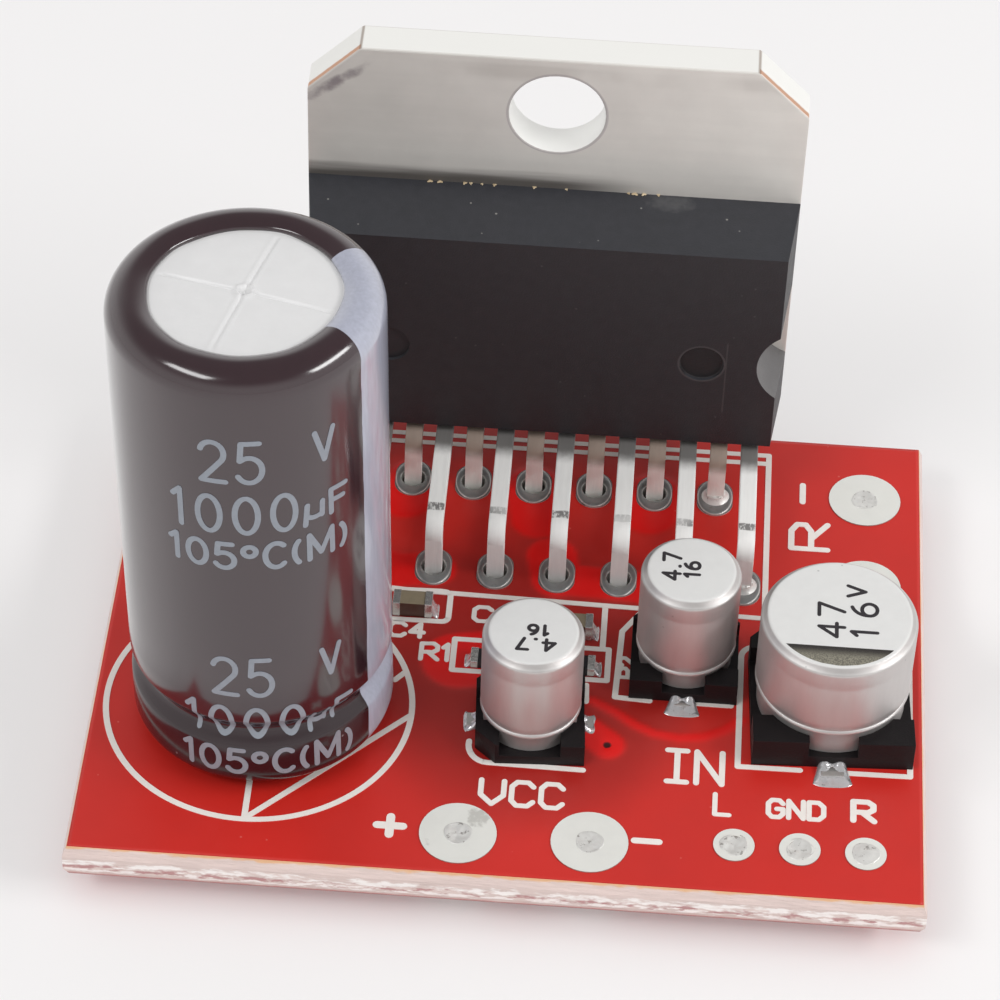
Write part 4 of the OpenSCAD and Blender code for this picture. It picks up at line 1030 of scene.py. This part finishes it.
class AMPLIFIER_OT_small_cans(bpy.types.Operator):
    """Satin cans with a rolled lower edge, their printed ratings, seats and terminals"""
    bl_idname = "amplifier.small_cans"
    bl_label = "Small Cans"

    def execute(self, context):
        look = context.scene.amplifier.capacitor
        metal = self.can_finish(look)
        for can, (ring, floor, *_) in CANS.items():
            line = self.can_line(size_mm(can)[0] / 2, ring, floor)
            made = make_piece(can + "_shell", [turned(line, (*middle(can)[:2], BOARD_TOP), 128)], metal,
                              [can])
            made.data.set_sharp_from_angle(angle=math.radians(50))
        self.make_prints(look)
        self.make_segment()
        seats = [can + "_base" for can in CANS]
        dress(plain_finish("seat_plastic", look.seat, (0.8, 0.45, 0.5, 4), (0.46, 0.16, 0.6, 3), (0.08, 0.01),
                           Specular_IOR_Level=0.3), *seats)
        soften(0.08, *seats)
        ends = [f"{can}_terminal_{pole}" for can in CANS for pole in ("plus", "minus")]
        dress(plain_finish("terminal_tin", paint(208, 207, 204), (0.84, 0.28, 0.2, 3), 0.28, (0.2, 0.01), metal=0.8),
              *ends)
        soften(0.03, *ends)
        return {"FINISHED"}

    def can_line(self, radius, ring, floor):
        """Profile of a can: drawn-in foot, rolled edge as a bead, groove, side, crease, two-step shoulder and top."""
        foot, top = radius - CAN_NECK_IN, CAN_TOP - CAN_SINK
        bead = arc((radius - 0.09, ring + 0.08), (0.09, 0.11), -80, 78, 9)
        side = [(radius - inset, height) for inset, height in (
            (0.05, ring + 0.23), (0.04, ring + 0.29), (0.012, ring + 0.36), (0.008, ring + 0.6),
            (0.008, CAN_TOP - 1.15), (0.022, CAN_TOP - 1.06), (0.008, CAN_TOP - 0.97), (0.008, CAN_TOP - 0.5))]
        shoulder = joined(arc((radius - 0.15, CAN_TOP - 0.33), (0.142, 0.14), 0, 62, 7),
                          arc((radius - 0.36, CAN_TOP - 0.19), (0.19, 0.178), 28, 90, 8))
        return joined((0, floor + 0.01), (foot, floor + 0.01), (foot, ring - CAN_NECK_IN - 0.02),
                      (foot + 0.05, ring - 0.06), bead, side, shoulder, (radius - 0.46, top), (0.6 * radius, top),
                      (0, top))

    def can_finish(self, look):
        """Satin aluminium, drawn upwards along the side and turned on the top, with small dull spots; the top is
        painted paler, as lit from above.
        """
        f = Finish("can_satin")
        top = f.ramp(f.facing()[2], 0.7, 0.95)
        base = f.shade(look.can, 0.93 + 0.12 * f.noise(0.35, 3, (1, 1, 5)))
        # Painted light: the upward faces are paler than the side.
        base = f.mix(top, base, f.shade(paint(232, 232, 230), 0.95 + 0.08 * f.noise(0.5, 3)))
        base = f.coats(base, (0.4 * f.specks(1.5, 0.06), (140, 138, 136)))
        return f.close(base, 0.4 + 0.12 * f.noise(0.4, 3, (1, 1, 5)), metal=0.72 - 0.55 * top, grain=f.noise(0.1, 3),
                       depth=0.003)

    def make_prints(self, look):
        """Ratings on the three tops, each turned as its can is."""
        strokes = []
        for can, text, at, height, width, turn, weight in (
                ("front_can", "4.7", (0.86, -0.42), 0.58, 1.46, 180, 0.14),
                ("front_can", "16", (0.54, 0.3), 0.5, 0.74, 180, 0.14),
                ("middle_can", "4.7", (-0.46, -0.6), 0.66, 1.42, 90, 0.14),
                ("middle_can", "16", (0.3, -0.4), 0.58, 0.8, 90, 0.14),
                ("right_can", "47", (0.16, -1.2), 0.98, 1.76, 90, 0.15),
                ("right_can", "1", (1.44, -1.06), 1.0, 0.3, 90, 0.15),
                ("right_can", "6", (1.44, 0.02), 1.0, 0.64, 90, 0.15),
                ("right_can", "V", (0.98, 1.02), 0.68, 0.56, 90, 0.15)):
            strokes += lettering(RATING_LETTERS, text, middle(can)[:2] + at, height, weight, CAN_PRINT_T, width=width,
                                 turn=turn, gap=0.34)
        ink = plain_finish("can_ink", look.can_print, (0.8, 0.5, 0.2, 3), 0.5)
        make_piece("small_can_print", laid(strokes, on_can), ink, printed=True)

    def make_segment(self):
        """Dark minus mark of the largest can: rows from a chord to the rim, each as wide as the circle there."""
        radius, chord = 2.7, -1.72
        at = middle("right_can")
        across, down = np.meshgrid(np.linspace(-1, 1, 49), np.linspace(chord, -radius + 0.002, 13))
        x, y = at[0] + across * np.sqrt(np.maximum(radius ** 2 - down ** 2, 1e-6)), at[1] + down
        upper, lower = (on_can(x, y, lift).reshape(-1, 3) for lift in (CAN_PRINT_T, -CAN_PRINT_T / 2))
        f = Finish("minus_ink")
        speckle = f.ramp(f.noise(0.06, 3), 0.4, 0.62)
        fade = f.ramp(f.axes()[1] + 0.1 * speckle, at[1] + chord - 0.02, at[1] + chord - 0.5)
        base = f.mix(fade * (0.45 + 0.55 * speckle), paint(58, 54, 52), paint(158, 154, 138))
        material = f.close(base, 0.4, metal=0.3, grain=speckle, depth=0.004)
        make_piece("right_can_minus_mark", [plate(upper, lower, *x.shape)], material, printed=True)


class AMPLIFIER_OT_chips(bpy.types.Operator):
    """Finishes for the ceramic and resistor chips and their plated ends"""
    bl_idname = "amplifier.chips"
    bl_label = "Chips"

    def execute(self, context):
        f = Finish("ceramic_brown")
        # Painted light: the ceramic's upper face is lighter and greener than its sides.
        base = f.mix(f.ramp(f.facing()[2], 0.4, 0.8), paint(84, 54, 42), paint(136, 124, 102))
        base = f.shade(base, 0.8 + 0.4 * f.noise(0.3, 3))
        dress(f.close(base, 0.42, grain=f.noise(0.1, 3), depth=0.006), *CERAMICS)
        dress(plain_finish("resistor_black", paint(34, 33, 36), (0.8, 0.5, 0.3, 3), 0.32, (0.1, 0.006)), *RESISTORS)
        ends = [chip + "_ends" for chip in CERAMICS + RESISTORS]
        dress(plain_finish("chip_tin", paint(214, 213, 210), (0.82, 0.3, 0.2, 3), 0.26, (0.16, 0.012), metal=0.8),
              *ends)
        soften(0.05, *ends)
        return {"FINISHED"}


def fillet(at, heading, start, reach, width, height, valley):
    """Solder fillet: a height field that falls hollow from a wall outwards and rounds off to both sides.

    The height is (1 - out) to a power, times a flat-topped side curve, less a valley along the middle. The foot is
    wider than the top by a share that grows outwards.
    """
    out, side = np.meshgrid(np.linspace(0, 1, 19), np.linspace(-1, 1, 33), indexing="ij")
    fall = (1 - out) ** 1.5
    rise = height * fall * (1 - 0.3 * abs(side) ** 2.5) * (1 - valley * np.exp(-(side / 0.32) ** 2))
    rise = np.maximum(rise, 0) * (1 - abs(side) ** 10) + 0.004
    along = start + reach * out * (1 - 0.16 * side ** 4)
    across = width / 2 * side * (0.74 + 0.26 * out)
    spin = np.radians(heading)
    x = at[0] + along * np.cos(spin) - across * np.sin(spin)
    y = at[1] + along * np.sin(spin) + across * np.cos(spin)
    upper = np.stack([x, y, BOARD_TOP + 0.03 + rise], -1).reshape(-1, 3)
    lower = np.stack([x, y, np.full_like(x, BOARD_TOP + 0.005)], -1).reshape(-1, 3)
    return plate(upper, lower, *x.shape)


class AMPLIFIER_OT_solder(bpy.types.Operator):
    """Solder: cones under the board, plugs in the wire pads, and fillets at cans and chips"""
    bl_idname = "amplifier.solder"
    bl_label = "Solder"

    def execute(self, context):
        bright = self.solder_finish("solder_bright", paint(232, 232, 234), 0.1, 0.7)
        dull = self.solder_finish("solder_dull", paint(230, 229, 225), 0.3, 0.35)
        self.make_joints(dull)
        self.make_plugs(dull)
        self.make_fillets(bright)
        return {"FINISHED"}

    def solder_finish(self, name, tint, rough, metal):
        """Tin with a soft flow grain, dull patches and a few brown flux traces."""
        f = Finish(name)
        base = f.coats(f.shade(tint, 0.84 + 0.28 * f.noise(0.35, 3)),
                       (f.ramp(f.noise(0.24, 4), 0.58, 0.68) * 0.6, (96, 84, 74)))
        return f.close(base, rough + 0.22 * f.noise(0.3, 3), metal=metal, grain=f.noise(0.3, 3), depth=0.03)

    def make_joints(self, material):
        """Hollow-flanked cones round every lead below the board, and domes on the two holes that filled up."""
        below = BOARD_LOW[2] - LAND_T
        fall = np.linspace(0, 1, 12)
        flat_lead, round_lead = (0.77, 0.44), (0.9, 0.32)
        places = [(*place, *flat_lead) for place in LEAD_PLACES]
        places += [(*middle(lead)[:2], *round_lead) for lead in CAP_LEADS]
        shells = []
        for x, y, land, wire in places:
            flank = np.stack([wire + 0.06 + (land - wire - 0.1) * (1 - fall) ** 2.2, -0.85 * fall], -1)
            profile = joined((0, 0.3), (land - 0.12, 0.3), (land - 0.04, 0.02), flank, (0, -0.9))
            shells.append(turned(profile, (x, y, below), 40, lambda r, h, a: (0.02 * r * np.sin(2 * a + 7 * x), 0)))
        for x, y in LEAD_PLACES[13:]:
            rise = np.stack([0.4 + 0.2 * (1 - fall) ** 1.6, 0.04 + 0.3 * fall], -1)
            profile = joined((0, -0.4), (0.44, -0.4), (0.6, 0), rise, (0, 0.36))
            shells.append(turned(profile, (x, y, BOARD_TOP + LAND_T), 40,
                                 lambda r, h, a: (0.05 * r * np.sin(2 * a + 1.3), 0.05 * r * np.cos(a - 1))))
        make_piece("lead_solder", shells, material, ["underside_solder"])

    def make_plugs(self, material):
        """Wrinkled plugs in the wire pads, sunk in the middle, with a bead below; the last input pad is domed.

        The wrinkles are sines of two, three and five waves a turn, strongest two thirds of the way out.
        """
        rim, plug_low = 0.57, -0.5
        share_in = np.linspace(1, 0, 16)
        seed = np.random.default_rng(11)
        shells = []
        for pad in WIRE_PADS + INPUT_PADS:
            low, high = box_mm(pad)
            x, y, _ = middle(pad)
            phase = seed.uniform(0, 6.3, 4)
            rise, rough = (0.1, 0.015) if pad == "input_pad_right" else (-0.07, 0.07)

            def wrinkle(r, h, a):
                lobes = (0.5 * np.sin(2 * a + phase[0]) + 0.4 * np.sin(3 * a + phase[1] + 5 * r)
                         + 0.25 * np.sin(5 * a - 9 * r + phase[2]))
                amount = rough * np.clip(r / rim, 0, 1) * np.clip((rim - r) / rim * 3, 0, 1)
                return 0.05 * r * np.sin(3 * a + phase[3]) * (h > -0.2), lobes * amount * (h > -0.2)
            upper = np.stack([rim * share_in, 0.012 + rise * (1 - share_in ** 2) ** 2], -1)
            closed = joined((0, plug_low), (rim * 0.7, plug_low), (rim, -0.03), upper[1:])
            shells.append(turned(closed, (x, y, high[2]), 44, wrinkle))
            bead = size_mm(pad)[0] / 2 - 0.15
            below = joined((0, 0.2), (bead, 0.2), arc((0, 0), (bead, 0.4), 0, -90, 9))
            shells.append(turned(below, (x, y, low[2]), 36))
        make_piece("pad_plugs", shells, material, ["pad_solder"])

    def make_fillets(self, material):
        """Fillets at both terminals of each small can, and small ones at both ends of each chip."""
        lap = 0.02
        shells = [fillet(middle(can), heading + turn, seat / 2 - lap, reach, width, 0.38, 0.45)
                  for can, (_, _, seat, heading, width, reach) in CANS.items() for turn in (0, 180)]
        make_piece("terminal_fillets", shells, material, ["terminal_solder"])
        shells = []
        for chip in CERAMICS + RESISTORS:
            long, _, tall = size_mm(chip + "_ends")
            shells += [fillet(middle(chip + "_ends"), turn, long / 2 - lap, 0.3, 0.82, 0.8 * tall, 0.05)
                       for turn in (0, 180)]
        make_piece("chip_fillets", shells, material, ["chip_solder"])


# The camera at the photograph's viewing angle: degrees, millimetres, and the focal length per image width.
CAMERA_AZIMUTH, CAMERA_ELEVATION, CAMERA_ROLL = 2.602, 45.0, 1.934
CAMERA_DISTANCE, CAMERA_FOCAL = 160.843, 3.8402
CAMERA_TARGET = np.array([ROW_AT[0] - 1.359, ROW_AT[1] - 0.917, BOARD_TOP])
# Strip lamps: name, place, width and height, and power as a share of the key lamp's; and the point they aim at.
LAMPS = (("key", (-190, -150, 290), (190, 70), 1.0), ("side", (260, -60, 190), (190, 60), 1.2))
LAMP_AIM = (0, 0, 8)
# The share of the floor that glows in its own colour, for rays that see it.
FLOOR_GLOW = 0.22


class AMPLIFIER_OT_stage(bpy.types.Operator):
    """Pale floor, even light with two strip lamps, and the camera"""
    bl_idname = "amplifier.stage"
    bl_label = "Stage"

    def execute(self, context):
        look = context.scene.amplifier.stage
        context.scene.view_settings.view_transform = "Standard"
        self.make_floor(look)
        self.make_world(context, look)
        for name, at, size, power in LAMPS:
            self.make_lamp(name, at, size, power * look.key)
        self.make_camera(context)
        return {"FINISHED"}

    def make_floor(self, look):
        """Round floor as rings of points; it takes shadows, and camera and mirror rays see it near its own colour."""
        floor = placed("floor", build_mesh("floor", [turned([(r, 0) for r in (0, 30, 80, 200, 600)], (0, 0, 0))]))
        f = Finish("floor_pale")
        diffuse = f.node("ShaderNodeBsdfDiffuse", inputs={"Color": (*look.floor, 1)})
        glow = f.node("ShaderNodeEmission", inputs={"Color": (*look.floor, 1), "Strength": 1.0})
        surface = f.node("ShaderNodeMixShader", inputs={0: FLOOR_GLOW * self.seen_ray(f), 1: diffuse, 2: glow})
        f.node("ShaderNodeOutputMaterial", inputs={"Surface": surface})
        floor.data.materials.append(f.owner)

    def seen_ray(self, f):
        """1 for rays from the camera, a mirror or a clear body."""
        rays = f.node("ShaderNodeLightPath").socket.node.outputs
        kinds = [Value(f, rays[name]) for name in ("Is Camera Ray", "Is Glossy Ray", "Is Transmission Ray")]
        return kinds[0].math("MAXIMUM", kinds[1]).math("MAXIMUM", kinds[2])

    def make_world(self, context, look):
        """Even light in the floor's colour, full where it is seen, and dimmer overhead in mirrors."""
        f = Finish("studio", bpy.data.worlds)
        context.scene.world = f.owner
        above = f.split(f.node("ShaderNodeTexCoord", out="Generated"))[2]
        glossy = f.node("ShaderNodeLightPath", out="Is Glossy Ray")
        shown = 1 - (1 - look.ceiling) * glossy * f.ramp(above, 0.25, 0.7)
        strength = look.fill + (shown - look.fill) * self.seen_ray(f)
        backdrop = f.node("ShaderNodeBackground", inputs={"Color": (*look.floor, 1), "Strength": strength})
        f.node("ShaderNodeOutputWorld", inputs={"Surface": backdrop})

    def make_lamp(self, name, at, size, power):
        """Strip lamp of a width and height, at a place, turned to the board's middle."""
        lamp = bpy.data.lights.new(name, "AREA")
        lamp.shape = "RECTANGLE"
        lamp.size, lamp.size_y = size[0] * MM, size[1] * MM
        lamp.energy = power
        lit = placed(name, lamp)
        lit.location = Vector(at) * MM
        lit.rotation_euler = (Vector(LAMP_AIM) * MM - lit.location).to_track_quat("-Z", "Y").to_euler()

    def make_camera(self, context):
        """Camera on a ball round the target; its axes follow from azimuth, elevation and roll."""
        turn, rise, roll = np.radians([CAMERA_AZIMUTH, CAMERA_ELEVATION, CAMERA_ROLL])
        back = np.array([np.sin(turn) * np.cos(rise), -np.cos(turn) * np.cos(rise), np.sin(rise)])
        right = np.cross((0, 0, 1), back)
        right /= np.linalg.norm(right)
        up = np.cross(back, right)
        right, up = right * np.cos(roll) + up * np.sin(roll), up * np.cos(roll) - right * np.sin(roll)
        view = bpy.data.cameras.new("camera")
        view.sensor_width = 36
        view.lens = CAMERA_FOCAL * view.sensor_width
        view.clip_start = 0.005
        place = np.eye(4)
        place[:3, :3] = np.stack([right, up, back], 1)
        place[:3, 3] = (CAMERA_TARGET + back * CAMERA_DISTANCE) * MM
        camera = placed("camera", view)
        camera.matrix_world = Matrix(place.tolist())
        context.scene.camera = camera


OPERATORS = (AMPLIFIER_OT_stage, AMPLIFIER_OT_board, AMPLIFIER_OT_lettering, AMPLIFIER_OT_package,
             AMPLIFIER_OT_tall_capacitor, AMPLIFIER_OT_small_cans, AMPLIFIER_OT_chips, AMPLIFIER_OT_solder)


class AMPLIFIER_PT_dresser(bpy.types.Panel):
    """Sizes, colours and making steps of the amplifier board"""
    bl_label = "Amplifier Board"
    bl_space_type = "VIEW_3D"
    bl_region_type = "UI"
    bl_category = "Amplifier"

    def draw(self, context):
        looks = context.scene.amplifier
        for group in ("board", "package", "capacitor", "stage"):
            box = self.layout.box()
            box.label(text=group.title())
            for prop in getattr(looks, group).bl_rna.properties:
                if not prop.is_readonly and prop.identifier != "name":
                    box.prop(getattr(looks, group), prop.identifier)
        for operator in OPERATORS:
            self.layout.operator(operator.bl_idname)


CLASSES = (BoardLook, PackageLook, CapacitorLook, StageLook, AmplifierLook, *OPERATORS, AMPLIFIER_PT_dresser)


def register():
    for item in CLASSES:
        bpy.utils.register_class(item)
    bpy.types.Scene.amplifier = PointerProperty(type=AmplifierLook)


def unregister():
    del bpy.types.Scene.amplifier
    for item in reversed(CLASSES):
        bpy.utils.unregister_class(item)


def main():
    register()
    for operator in OPERATORS:
        group, name = operator.bl_idname.split(".")
        getattr(getattr(bpy.ops, group), name)()
    bpy.context.view_layer.update()


if __name__ == "__main__":
    main()
